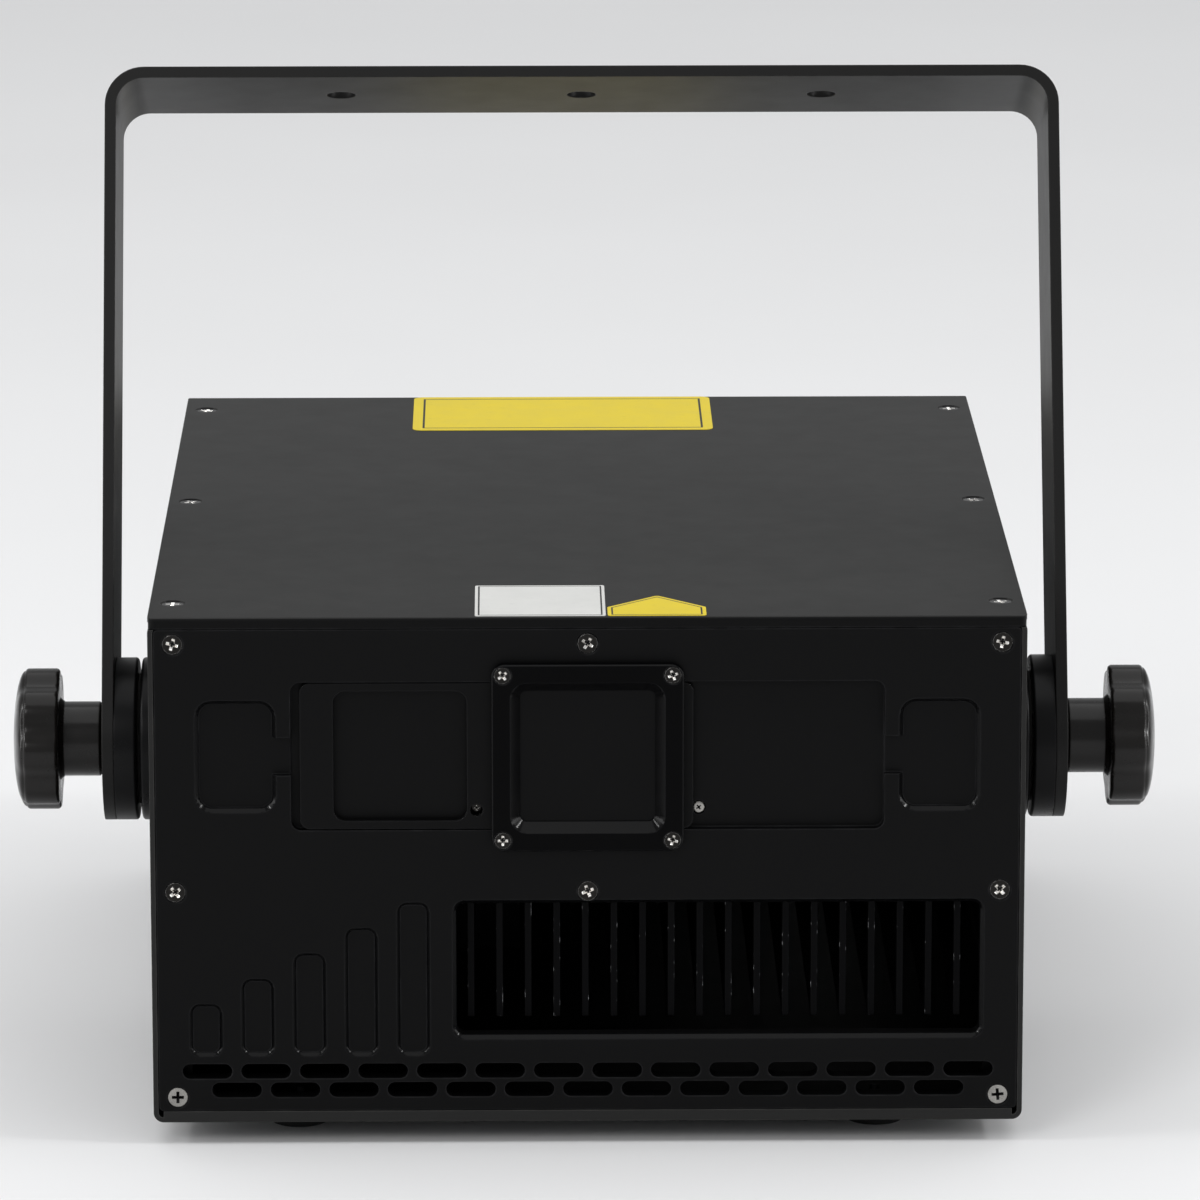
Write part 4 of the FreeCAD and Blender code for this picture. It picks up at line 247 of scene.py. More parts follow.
def plated(name, colour, roughness):
    """Plated or bare metal: fine scratches and tarnish in patches."""
    look = Look(name)
    scratches = look.noise(scale=2600.0, detail=2.0, stretch=(1.0, 0.15, 1.0))
    tarnish = look.ramp(look.noise(scale=300.0), low=0.0, high=1.0, span=(0.35, 0.75))
    rounded = look.edges(radius=0.15 * MM)[1]
    look.feed(Base_Color=look.tones(tarnish, colour, first=1.0, second=0.7))
    look.rough(scratches, roughness, less=0.08, more=0.12)
    look.bump(scratches, strength=0.08, distance=0.03 * MM, normal=rounded)
    look.set(Metallic=1.0)
    return look.material


def screw_metal(name, colour, lighter_edges):
    """Dark plating on screws, lighter along the edges of head and recess: partly rubbed metal, partly a
    painted highlight.
    """
    look = Look(name)
    edge, rounded = look.edges(radius=0.18 * MM)
    patches = look.ramp(look.noise(scale=900.0, detail=3.0), low=0.4, high=1.0, span=(0.3, 0.55))
    tarnish = look.tones(look.noise(scale=700.0), colour, first=0.7, second=1.3)
    # Lighter edges: partly rubbed plating, partly a painted highlight standing in for rim glints
    look.feed(Base_Color=look.blend(look.multiply(edge, patches), tarnish, lighter_edges))
    look.feed(Roughness=look.ramp(look.noise(scale=1500.0), low=0.16, high=0.3, span=NOISE_SPAN))
    look.bump(look.noise(scale=500.0, detail=2.0), strength=0.1, distance=0.1 * MM, normal=rounded)
    look.set(Metallic=1.0)
    return look.material


def rubber(name, colour):
    """Rubber: chalky tone, dusty bloom and a coarse pebble."""
    look = Look(name)
    bloom = look.ramp(look.noise(scale=90.0, detail=5.0), low=0.0, high=1.0, span=(0.35, 0.7))
    look.feed(Base_Color=look.tones(bloom, colour, first=0.9, second=1.8))
    look.feed(Roughness=look.ramp(bloom, low=0.78, high=0.92))
    look.bump(look.noise(scale=1500.0, detail=3.0), strength=0.3, distance=0.1 * MM)
    look.set(Specular_IOR_Level=0.3)
    return look.material


def board(name, colour):
    """Circuit board: solder mask over a pattern of tracks."""
    look = Look(name)
    values = {"Scale": 160.0, "Mortar Size": 0.03, "Color1": shade(colour, factor=0.8),
              "Color2": shade(colour, factor=1.1), "Mortar": shade(colour, factor=1.7)}
    tracks = look.add("ShaderNodeTexBrick", {"Vector": look.place}, values)
    mask = look.blend(look.noise(scale=60.0), tracks.outputs["Color"], shade(colour, factor=0.7))
    look.feed(Base_Color=mask)
    look.feed(Roughness=look.ramp(look.noise(scale=200.0), low=0.32, high=0.5))
    look.bump(tracks.outputs["Fac"], strength=0.2, distance=0.05 * MM)
    return look.material


def pane(name, colour, roughness, transmission, gloss):
    """A glass or tinted pane with faint smears."""
    look = Look(name)
    smear = look.noise(scale=50.0, detail=5.0, stretch=(1.0, 1.0, 0.3))
    look.feed(Base_Color=look.tones(smear, colour, first=0.9, second=1.1))
    look.feed(Roughness=look.ramp(smear, low=roughness, high=roughness + 0.08, span=(0.4, 0.8)))
    look.bump(smear, strength=0.05, distance=0.02 * MM)
    look.set(Transmission_Weight=transmission, IOR=1.48, Specular_IOR_Level=gloss)
    return look.material


def film(name, colour):
    """Printed film: slightly uneven ink, rubbed patches and a soft sheen."""
    look = Look(name)
    ink = look.noise(scale=120.0, detail=5.0)
    rub = look.ramp(look.noise(scale=420.0), low=0.0, high=0.5, span=(0.6, 0.85))
    body = look.tones(ink, colour, first=0.9, second=1.06)
    look.feed(Base_Color=look.blend(rub, body, shade(colour, factor=0.72)))
    look.feed(Roughness=look.ramp(ink, low=0.38, high=0.55))
    look.bump(look.noise(scale=700.0, detail=3.0), strength=0.08, distance=0.05 * MM)
    look.set(Specular_IOR_Level=0.3)
    return look.material


# Middle of the turned discs, and the ways in which brush lines are drawn out
PIVOT = JOINTS["yoke_tilt"]["pos_m"]
ALONG_Y = (1.0, 0.05, 1.0)
UPWARD = (1.0, 1.0, 0.05)

LOOKS = {
    "black_powder_coat": painted("black_powder_coat", (0.0074, 0.0073, 0.0069),
                                 roughness=0.5, grain=0.2, gloss=0.28),
    "yoke_paint": painted("yoke_paint", (0.0055, 0.0053, 0.0051), roughness=0.44, grain=0.18, gloss=0.22),
    "black_anodised": anodised("black_anodised", (0.0012, 0.0012, 0.0015),
                               roughness=0.4, gloss=0.05, direction=UPWARD),
    "turned_black": turned("turned_black", (0.0035, 0.0035, 0.0038),
                           roughness=0.3, gloss=0.16, centre=PIVOT),
    "friction_fibre": rubber("friction_fibre", (0.012, 0.0115, 0.011)),
    "knob_plastic": moulded("knob_plastic", (0.005, 0.0042, 0.0036),
                            roughness=0.22, grain=0.05, gloss=0.22, coat=0.12),
    # The screws' pale edge colour is partly rubbed metal and partly a painted highlight
    "screw_nickel": screw_metal("screw_nickel", (0.02, 0.019, 0.018), lighter_edges=(0.9, 0.89, 0.87, 1.0)),
    "foot_rubber": rubber("foot_rubber", (0.010, 0.010, 0.010)),
    "clear_glass": pane("clear_glass", (0.75, 0.85, 0.82), roughness=0.03, transmission=1.0, gloss=0.5),
    "bare_aluminium": plated("bare_aluminium", (0.66, 0.66, 0.67), roughness=0.38),
    "laser_case": anodised("laser_case", (0.02, 0.02, 0.022), roughness=0.42, gloss=0.3, direction=ALONG_Y),
    "mirror_coat": plated("mirror_coat", (0.8, 0.82, 0.86), roughness=0.09),
    "board_green": board("board_green", (0.012, 0.09, 0.03)),
    "fan_black": moulded("fan_black", (0.008, 0.008, 0.0083), roughness=0.5, grain=0.1, gloss=0.35),
    "socket_black": moulded("socket_black", (0.009, 0.009, 0.0094), roughness=0.42, grain=0.12, gloss=0.35),
    "rocker_black": moulded("rocker_black", (0.010, 0.010, 0.010),
                            roughness=0.3, grain=0.05, gloss=0.4, coat=0.2),
    "key_chrome": plated("key_chrome", (0.7, 0.7, 0.71), roughness=0.16),
    "socket_steel": plated("socket_steel", (0.58, 0.58, 0.57), roughness=0.28),
    "display_pane": pane("display_pane", (0.002, 0.0035, 0.004),
                         roughness=0.06, transmission=0.0, gloss=0.25),
    "button_black": moulded("button_black", (0.015, 0.015, 0.016), roughness=0.45, grain=0.12, gloss=0.35),
}
# A darker copy of the black coat for faces turned to the front: partly the front's own finish, partly
# painted shade away from the top light
SHADED_FRONT_BLACK = painted("shaded_front_black", (0.0026, 0.0026, 0.0028),
                      roughness=0.46, grain=0.14, gloss=0.09, edge_radius=0.8 * MM)
FRONT_CUT = painted("front_cut", (0.002, 0.002, 0.0022),
                    roughness=0.16, grain=0.04, gloss=0.12, edge_radius=0.3 * MM)
# Darkest black: the bezel's own colour, also laid on faces inside the tray as painted shade
BEZEL_AND_SHADE_BLACK = painted("bezel_and_shade_black", (0.0012, 0.0012, 0.0014), roughness=0.34, grain=0.1, gloss=0.045)
# Bright steel on the walls of screw recesses, a painted highlight standing in for glints
RECESS_GLINT_STEEL = plated("recess_glint_steel", (0.95, 0.93, 0.9), roughness=0.2)
PALE_STEEL = plated("pale_steel", (0.36, 0.35, 0.33), roughness=0.3)
BLACK_STEEL = plated("black_steel", (0.018, 0.018, 0.019), roughness=0.4)
GOLD = plated("contact_gold", (0.7, 0.5, 0.2), roughness=0.25)
YELLOW_FILM = film("yellow_film", (0.72, 0.56, 0.02))
WHITE_FILM = film("white_film", (0.66, 0.66, 0.64))
DARK_INK = film("dark_ink", (0.015, 0.015, 0.015))

for node, slot in SLOT_OF.items():
    nodes[node].data.materials.clear()
    nodes[node].data.materials.append(LOOKS[slot])
# The front panel and the slide take the darker front black, partly painted shade
for node in ("front_panel", "shutter_slide"):
    nodes[node].data.materials[0] = SHADED_FRONT_BLACK
nodes["aperture_bezel"].data.materials[0] = BEZEL_AND_SHADE_BLACK
for node in ("power_supply", "bench_rails"):
    nodes[node].data.materials[0] = BLACK_STEEL


# Mesh helpers

def welded(node):
    """A node's mesh with its split corners joined."""
    shape = bmesh.new()
    shape.from_mesh(nodes[node].data)
    bmesh.ops.remove_doubles(shape, verts=shape.verts, dist=WELD)
    return shape


def solids(node):
    """Lowest and highest corner of each separate solid in a node, in order of place."""
    shape = welded(node)
    left = set(shape.verts)
    boxes = []
    while left:
        reached = [left.pop()]
        for vert in reached:
            near = [edge.other_vert(vert) for edge in vert.link_edges]
            fresh = [other for other in near if other in left]
            left.difference_update(fresh)
            reached.extend(dict.fromkeys(fresh))
        places = [vert.co for vert in reached]
        low = Vector([min(place[axis] for place in places) for axis in range(3)])
        high = Vector([max(place[axis] for place in places) for axis in range(3)])
        boxes.append((low, high))
    shape.free()
    return sorted(boxes, key=lambda corners: tuple(round(value, PLACE_DIGITS) for value in corners[0]))


def piece(name, shape, body, materials, replaces=()):
    """A finished piece of the object, riding on a body."""
    bmesh.ops.recalc_face_normals(shape, faces=shape.faces)
    mesh = bpy.data.meshes.new(name)
    shape.to_mesh(mesh)
    shape.free()
    mesh.shade_smooth()
    mesh.set_sharp_from_angle(angle=SHARP)
    for material in materials:
        mesh.materials.append(material)
    thing = bpy.data.objects.new(name, mesh)
    bpy.context.collection.objects.link(thing)
    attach(thing, body)
    if replaces:
        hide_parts(*replaces)
    return thing


def softened(node, width, second=None, chosen=None, reshape=None):
    """A piece in the place of a node, with rounded edges and a second material on chosen faces."""
    segments, round_profile = 2, 0.5
    shape = welded(node)
    if reshape:
        reshape(shape)
    bmesh.ops.dissolve_limit(shape, angle_limit=FLAT, verts=shape.verts, edges=shape.edges)
    sharp = [edge for edge in shape.edges if edge.is_manifold and edge.calc_face_angle() > SHARP]
    bmesh.ops.bevel(shape, geom=sharp, offset=width, segments=segments, profile=round_profile,
                    affect="EDGES", clamp_overlap=True)
    bmesh.ops.dissolve_degenerate(shape, dist=WELD, edges=shape.edges)
    materials = [nodes[node].data.materials[0]]
    if second:
        materials.append(second)
        shape.normal_update()
        for face in shape.faces:
            face.material_index = int(chosen(face))
    thing = piece(node + "_finished", shape, nodes[node]["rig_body"], materials, [node])
    thing.modifiers.new("even_normals", "WEIGHTED_NORMAL").keep_sharp = True


def ring(shape, radius, height, steps):
    """Points round the Z axis."""
    turns = [2 * math.pi * step / steps for step in range(steps)]
    return [shape.verts.new((radius * math.cos(turn), radius * math.sin(turn), height)) for turn in turns]


def skin(shape, loops):
    """Faces between each loop of points and the next."""
    faces = []
    for first, second in zip(loops, loops[1:]):
        count = len(first)
        for step in range(count):
            after = (step + 1) % count
            faces.append(shape.faces.new((first[step], first[after], second[after], second[step])))
    return faces


def cone(shape, loop, tip):
    """Faces from a loop of points to one point."""
    point = shape.verts.new(tip)
    return [shape.faces.new((first, second, point)) for first, second in zip(loop, loop[1:] + loop[:1])]


def capped(shape, loops):
    """Faces between loops of points, and one across each end."""
    skin(shape, loops)
    shape.faces.new(loops[0])
    return shape.faces.new(loops[-1])


def round_outline(corners, inset, radius):
    """Points of a convex outline, anticlockwise, moved inward and with round corners."""
    steps = 5
    points = []
    ahead = corners[1:] + corners[:1]
    behind = corners[-1:] + corners[:-1]
    for before, corner, after in zip(behind, corners, ahead):
        here = Vector(corner)
        arriving = (here - Vector(before)).normalized()
        leaving = (Vector(after) - here).normalized()
        first = Vector((arriving.y, -arriving.x))
        last = Vector((leaving.y, -leaving.x))
        middle = (first + last).normalized()
        centre = here - middle * ((inset + radius) / middle.dot(first))
        for step in range(steps + 1):
            points.append(centre + first.lerp(last, step / steps).normalized() * radius)
    return points


def level(shape, points, height):
    """A loop of points at one height."""
    return [shape.verts.new((point[0], point[1], height)) for point in points]


def loop_edges(shape, loop):
    """Edges round a loop of points, made where they are missing."""
    return [shape.edges.get(pair) or shape.edges.new(pair) for pair in zip(loop, loop[1:] + loop[:1])]


# Screws, each drawn upright with its top at the origin

SCREW_STEPS = 28
FLAT_EDGE_SHARE = 0.04
FLAT_SHANK_SHARE = 0.52
PAN_SHANK_SHARE = 0.55
PAN_HEIGHT_SHARE = 0.67
PAN_FLAT_SHARE = 0.68
PAN_CROWN_SHARE = 0.6
ARM_SHARE = 0.6
WEB_SHARE = 0.15
RECESS_SHARE = 0.3
TURN_STEP = math.radians(37)
# Metals of a screw by their place in its list, and what each becomes on a pale screw. The recess walls take
# a bright steel as a painted highlight for glints, the recess tip a black steel as painted shade, and on a
# pale screw the whole recess takes the black steel as painted shade
HEAD, GLINT_WALL, SHADED_TIP, PALE = range(4)
PALE_METAL = {HEAD: PALE, GLINT_WALL: SHADED_TIP, SHADED_TIP: SHADED_TIP}
NICKEL = [LOOKS["screw_nickel"], RECESS_GLINT_STEEL, BLACK_STEEL, PALE_STEEL]
BLACKENED = [BLACK_STEEL, RECESS_GLINT_STEEL, BLACK_STEEL]


def cross(shape, arm, web, height):
    """Outline of a cross with square ends."""
    quarter = [(arm, -web), (arm, web), (web, web)]
    points = []
    for turn in range(4):
        spin = Matrix.Rotation(math.pi / 2 * turn, 2)
        points += [spin @ Vector(point) for point in quarter]
    return level(shape, points, height)


def cross_recess(shape, rim, radius):
    """Flat top of a head inside its rim, with a cross recess whose walls take a bright metal as a painted
    highlight and whose tip a black metal as painted shade.
    """
    arm = radius * ARM_SHARE
    web = radius * WEB_SHARE
    depth = radius * RECESS_SHARE
    taper_share, tip_share = 0.5, 1.3
    mouth = cross(shape, arm, web, 0)
    throat = cross(shape, arm * taper_share, web * taper_share, -depth)
    for face in skin(shape, [mouth, throat]):
        face.material_index = GLINT_WALL
    for face in cone(shape, throat, (0, 0, -depth * tip_share)):
        face.material_index = SHADED_TIP
    edges = loop_edges(shape, rim) + loop_edges(shape, mouth)
    bmesh.ops.triangle_fill(shape, edges=edges, use_beauty=True, normal=(0, 0, 1))


def shank_rings(shape, radius, start, end):
    """Loops of a ribbed shank that narrows to its tip."""
    pitch_share, root_share, tip_share = 0.4, 0.86, 0.6
    least_turns = 2
    pitch = radius * pitch_share
    turns = max(least_turns, int((start - end) / pitch) - 1)
    rings = []
    for turn in range(turns):
        crest = start - pitch * turn
        rings.append(ring(shape, radius, crest, SCREW_STEPS))
        rings.append(ring(shape, radius * root_share, crest - pitch / 2, SCREW_STEPS))
    rings.append(ring(shape, radius * tip_share, end, SCREW_STEPS))
    return rings


def flat_screw(radius, length):
    """Flat head with a cone below it."""
    shape = bmesh.new()
    edge = radius * FLAT_EDGE_SHARE
    shank = radius * FLAT_SHANK_SHARE
    rim = ring(shape, radius - edge, 0, SCREW_STEPS)
    loops = [rim, ring(shape, radius, -edge, SCREW_STEPS)]
    loops += shank_rings(shape, shank, -edge - (radius - shank), -length)
    skin(shape, loops)
    cone(shape, loops[-1], (0, 0, -length))
    cross_recess(shape, rim, radius)
    return shape


def pan_screw(radius, length):
    """Domed head with a flat top."""
    shape = bmesh.new()
    height = radius * PAN_HEIGHT_SHARE
    crown = height * PAN_CROWN_SHARE
    rim_radius = radius * PAN_FLAT_SHARE
    arc_steps = 5
    loops = []
    for step in range(arc_steps + 1):
        turn = math.pi / 2 * step / arc_steps
        reach = rim_radius + (radius - rim_radius) * math.sin(turn)
        loops.append(ring(shape, reach, crown * (math.cos(turn) - 1), SCREW_STEPS))
    loops.append(ring(shape, radius, -height, SCREW_STEPS))
    loops += shank_rings(shape, radius * PAN_SHANK_SHARE, -height, -length)
    skin(shape, loops)
    cone(shape, loops[-1], (0, 0, -length))
    cross_recess(shape, loops[0], rim_radius)
    return shape


FACING = {
    "front": Matrix.Rotation(math.pi / 2, 4, "X"),
    "back": Matrix.Rotation(-math.pi / 2, 4, "X"),
    "up": Matrix.Identity(4),
    "down": Matrix.Rotation(math.pi, 4, "X"),
}


def outer_end(low, high, facing):
    """Middle of a solid's outer end, its radius and its length."""
    way = FACING[facing] @ Vector((0, 0, 1))
    middle, half = (low + high) / 2, (high - low) / 2
    reach = abs(half.dot(way))
    across = [half[axis] for axis in range(3) if round(way[axis]) == 0]
    return middle + way * reach, max(across), reach * 2


def join(shape, one, place, facing, turn=0.0):
    """Adds an upright mesh to a shape, turned to face a way at a place."""
    matrix = Matrix.Translation(place) @ FACING[facing] @ Matrix.Rotation(turn, 4, "Z")
    bmesh.ops.transform(one, matrix=matrix, verts=one.verts)
    part = bpy.data.meshes.new("part")
    one.to_mesh(part)
    one.free()
    shape.from_mesh(part)
    bpy.data.meshes.remove(part)


def screws(node, facing, make, metals, pale=None):
    """Stands in for a node of screws, each turned differently, with pale heads where a test says so."""
    shape = bmesh.new()
    for index, (low, high) in enumerate(solids(node)):
        top, radius, length = outer_end(low, high, facing)
        one = make(radius, length)
        if pale and pale(top):
            for face in one.faces:
                face.material_index = PALE_METAL[face.material_index]
        join(shape, one, top, facing, TURN_STEP * index)
    piece(node + "_finished", shape, nodes[node]["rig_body"], metals, [node])


# Clamp knobs

KNOB_LOBES = 8
KNOB_STEPS = 128
SHANK_SHARE = 0.522
BORE_SHARE = 0.187
BORE_END_SHARE = 0.72
RIM_START_SHARE = 0.482
RIM_END_SHARE = 0.867
CORNER_SHARE = 0.055
FILLET_SHARE = 0.06
SCALLOP_SHARE = 0.085
SCALLOP_POWER = 1.6
# Quarter turns from the axis at which the rim's corner meets the dome
DOME_START = 0.25


def arc(x, radius, size, start, end):
    """Points of a round corner about a centre, from one angle to another in quarter turns from the axis."""
    steps = 6
    turns = [math.pi / 2 * (start + (end - start) * step / steps) for step in range(steps + 1)]
    return [(x + size * math.cos(turn), radius + size * math.sin(turn)) for turn in turns]


def knob_profile(length, outside):
    """Half section of a knob as points along and out from its axis, from the bore to the dome."""
    shank = outside * SHANK_SHARE
    bore = outside * BORE_SHARE
    fillet = outside * FILLET_SHARE
    corner = outside * CORNER_SHARE
    back = length * RIM_START_SHARE
    shoulder = length * RIM_END_SHARE
    dome_steps = 10
    points = [(length * BORE_END_SHARE, bore), (0, bore), (0, shank - fillet), (fillet, shank)]
    points += [(back - fillet, shank), (back, shank + fillet)]
    points += arc(back + corner, outside - corner, corner, 2, 1)
    points += arc(shoulder - corner, outside - corner, corner, 1, DOME_START)
    rim_x, rim_radius = points[-1]
    for step in range(1, dome_steps):
        turn = math.pi / 2 * step / dome_steps
        points.append((rim_x + (length - rim_x) * math.sin(turn), rim_radius * math.cos(turn)))
    return points


def knob(node, outward):
    """Lobed knob on a plain shank, with a domed face and rounded corners."""
    low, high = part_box(node)
    middle = (low + high) / 2
    length = high.x - low.x
    outside = (high.z - low.z) / 2
    seat = low.x if outward > 0 else high.x
    plain = outside * (SHANK_SHARE + FILLET_SHARE)
    shape = bmesh.new()
    loops = []
    for x, radius in knob_profile(length, outside):
        depth = outside * SCALLOP_SHARE * max(0.0, (radius - plain) / (outside - plain))
        loop = []
        for step in range(KNOB_STEPS):
            turn = 2 * math.pi * step / KNOB_STEPS
            dip = ((1 - math.cos(KNOB_LOBES * turn)) / 2) ** SCALLOP_POWER
            here = radius - depth * dip
            loop.append(shape.verts.new((outward * x, here * math.cos(turn), here * math.sin(turn))))
        loops.append(loop)
    skin(shape, loops)
    cone(shape, loops[0], (outward * length * BORE_END_SHARE, 0, 0))
    cone(shape, loops[-1], (outward * length, 0, 0))
    bmesh.ops.translate(shape, vec=(seat, middle.y, middle.z), verts=shape.verts)
    slot = SLOT_OF[node]
    piece(node + "_finished", shape, nodes[node]["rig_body"], [LOOKS[slot]], [node])


# Blank stickers on the lid, placed from its middle line and its front or rear edge

FILM_THICKNESS = 0.15 * MM
SMALLEST_CORNER = 0.2 * MM
LID_BEND = 1.5 * MM
LID_LOW, LID_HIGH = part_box("top_lid")
LINE_INDEX = 1


def sticker(name, corners, radius, colour, margin, line):
    """A thin blank film with rounded corners and a dark line inside its edge."""
    inner = max(radius - margin, SMALLEST_CORNER)
    height = LID_HIGH.z
    top = height + FILM_THICKNESS
    levels = [(0, radius, height), (0, radius, top), (margin, inner, top), (margin + line, inner, top)]
    shape = bmesh.new()
    loops = [level(shape, round_outline(corners, inset, corner), z) for inset, corner, z in levels]
    skin(shape, loops[:3])
    for face in skin(shape, loops[2:]):
        face.material_index = LINE_INDEX
    shape.faces.new(loops[0])
    shape.faces.new(loops[-1])
    piece(name, shape, "housing", [colour, DARK_INK])


def rear_yellow_sticker():
    """Wide plate at the rear edge."""
    left, right, depth = -54.5 * MM, 44.0 * MM, 53.0 * MM
    corner, margin, line = 3.0 * MM, 3.2 * MM, 0.7 * MM
    far = LID_HIGH.y - LID_BEND
    near = far - depth
    corners = [(left, near), (right, near), (right, far), (left, far)]
    sticker("rear_yellow_sticker", corners, corner, YELLOW_FILM, margin, line)


def front_white_sticker():
    """Nearly square plate at the front edge."""
    left, right, depth = -33.3 * MM, 5.4 * MM, 39.5 * MM
    corner, margin, line = 0.8 * MM, 0.9 * MM, 0.5 * MM
    near = LID_LOW.y + LID_BEND
    far = near + depth
    corners = [(left, near), (right, near), (right, far), (left, far)]
    sticker("front_white_sticker", corners, corner, WHITE_FILM, margin, line)


def front_yellow_sticker():
    """Five-sided plate at the front edge, with a peak towards the rear."""
    left, right, peak = 6.0 * MM, 35.2 * MM, 21.0 * MM
    side_depth, peak_depth = 10.9 * MM, 25.8 * MM
    corner, margin, line = 1.2 * MM, 1.1 * MM, 0.5 * MM
    near = LID_LOW.y + LID_BEND
    side = near + side_depth
    corners = [(left, near), (right, near), (right, side), (peak, near + peak_depth), (left, side)]
    sticker("front_yellow_sticker", corners, corner, YELLOW_FILM, margin, line)


# Rear sockets, each drawn upright with its seat at height zero

PIN_STEPS = 16
CONTACT_STEPS = 10
HEXAGON = 6
TUBE_EDGE_SHARE = 0.25
INSERT_INDEX, CONTACT_INDEX = 1, 2


def rectangle(width, depth):
    """Corners about the origin, anticlockwise."""
    right = width / 2
    top = depth / 2
    return [(-right, -top), (right, -top), (right, top), (-right, top)]


def prism(shape, corners, radius, low, high, edge):
    """A solid plate with round corners and a softened top edge."""
    heights = [(0, low), (0, high - edge), (edge, high)]
    capped(shape, [level(shape, round_outline(corners, inset, radius), z) for inset, z in heights])


def tube(outer, inner, low, high, floor, steps):
    """A round or six-sided post with a blind hole in its top."""
    edge = (outer - inner) * TUBE_EDGE_SHARE
    shape = bmesh.new()
    sizes = [(outer, low), (outer, high - edge), (outer - edge, high), (inner, high), (inner, floor)]
    capped(shape, [ring(shape, radius, z, steps) for radius, z in sizes])
    return shape


def socket_shell(shape, corners, radius, low, high, wall, lip):
    """A thin wall round a socket, closed by a black insert just below its rim."""
    sizes = [(0, low), (0, high), (wall, high), (wall, high - lip)]
    loops = [level(shape, round_outline(corners, inset, radius - inset), z) for inset, z in sizes]
    capped(shape, loops).material_index = INSERT_INDEX


def signal_posts(shape, low, high):
    """Two six-sided posts that take a plug's screws."""
    spacing, outer, bore = 47.0 * MM, 2.6 * MM, 1.3 * MM
    for side in (-1, 1):
        place = Vector((spacing / 2 * side, 0, 0))
        join(shape, tube(outer, bore, low, high, low, HEXAGON), place, "up")


def signal_contacts(shape, face):
    """Two rows of small gold cups, thirteen over twelve."""
    pitch, row_gap, first_row, rows = 2.77 * MM, 2.84 * MM, 13, 2
    outer, bore, rise, sunk = 0.75 * MM, 0.45 * MM, 0.25 * MM, 0.5 * MM
    floor_share = 0.1
    for row in range(rows):
        count = first_row - row
        up = row_gap * (row - (rows - 1) / 2)
        for index in range(count):
            across = pitch * (index - (count - 1) / 2)
            cup = tube(outer, bore, face - sunk, face + rise, face + rise * floor_share, CONTACT_STEPS)
            for side in cup.faces:
                side.material_index = CONTACT_INDEX
            join(shape, cup, Vector((across, up, 0)), "up")


def signal_socket():
    """Multi-pole socket: flange, slanted shell, black insert with two rows of contacts and two posts."""
    node = "signal_socket"
    low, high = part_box(node)
    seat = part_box("rear_panel")[1].y
    stand = high.y - seat
    flange, corner, edge = 1.0 * MM, 1.2 * MM, 0.2 * MM
    wide, narrow, tall = 39.0 * MM, 36.0 * MM, 8.4 * MM
    shell_corner, wall, lip = 2.2 * MM, 0.6 * MM, 0.5 * MM
    right, slant, top = wide / 2, narrow / 2, tall / 2
    slanted = [(-right, -top), (right, -top), (slant, top), (-slant, top)]
    upright = bmesh.new()
    prism(upright, rectangle(high.x - low.x, high.z - low.z), corner, 0, flange, edge)
    prism(upright, rectangle(wide, tall), corner, low.y - seat, 0, edge)
    socket_shell(upright, slanted, shell_corner, flange / 2, stand, wall, lip)
    signal_posts(upright, flange, stand)
    signal_contacts(upright, stand - lip)
    shape = bmesh.new()
    middle = (low + high) / 2
    join(shape, upright, Vector((middle.x, seat, middle.z)), "back")
    slot = SLOT_OF[node]
    piece(node + "_finished", shape, "housing", [LOOKS[slot], LOOKS["socket_black"], GOLD], [node])


def flange_middle(node):
    """Middle of a rear piece's outer face."""
    low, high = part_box(node)
    return Vector(((low.x + high.x) / 2, high.y, (low.z + high.z) / 2))


def socket_screws():
    """Pan screws in the flanges of the round sockets and the mains inlet."""
    radius, length = 2.6 * MM, 6.0 * MM
    round_across, round_up, inlet_across = 9.5 * MM, 12.0 * MM, 20.0 * MM
    head = radius * PAN_HEIGHT_SHARE
    places = []
    for side in (-1, 1):
        for node in ("data_input", "data_output"):
            places.append(flange_middle(node) + Vector((round_across * side, head, round_up * side)))
        places.append(flange_middle("power_inlet") + Vector((inlet_across * side, head, 0)))
    shape = bmesh.new()
    for index, place in enumerate(places):
        join(shape, pan_screw(radius, length), place, "back", TURN_STEP * index)
    piece("socket_screws", shape, "housing", NICKEL)


def latch_tab():
    """Release tab above the round output socket."""
    width, height, rise = 8.0 * MM, 3.4 * MM, 1.2 * MM
    corner, edge, above = 1.2 * MM, 0.4 * MM, 12.3 * MM
    tab = bmesh.new()
    prism(tab, rectangle(width, height), corner, 0, rise, edge)
    shape = bmesh.new()
    join(shape, tab, flange_middle("data_output") + Vector((0, 0, above)), "back")
    piece("latch_tab", shape, "housing", [LOOKS["socket_steel"]])


PIN_SKIN = 0.05 * MM


def round_pins(shape):
    """Metal skins on the three pins of the round input socket."""
    circle, radius = 4.2 * MM, 1.2 * MM + PIN_SKIN
    bottom, tip = -15.0 * MM, -4.0 * MM + PIN_SKIN
    shoulder_share, blunt_share = 0.8, 0.4
    nose = radius / 2
    sizes = [(radius, bottom), (radius, tip - nose)]
    sizes += [(radius * shoulder_share, tip - nose / 3), (radius * blunt_share, tip)]
    for across, up in ((-circle, 0), (circle, 0), (0, -circle)):
        pin = bmesh.new()
        capped(pin, [ring(pin, size, z, PIN_STEPS) for size, z in sizes])
        join(shape, pin, flange_middle("data_input") + Vector((across, 0, up)), "back")


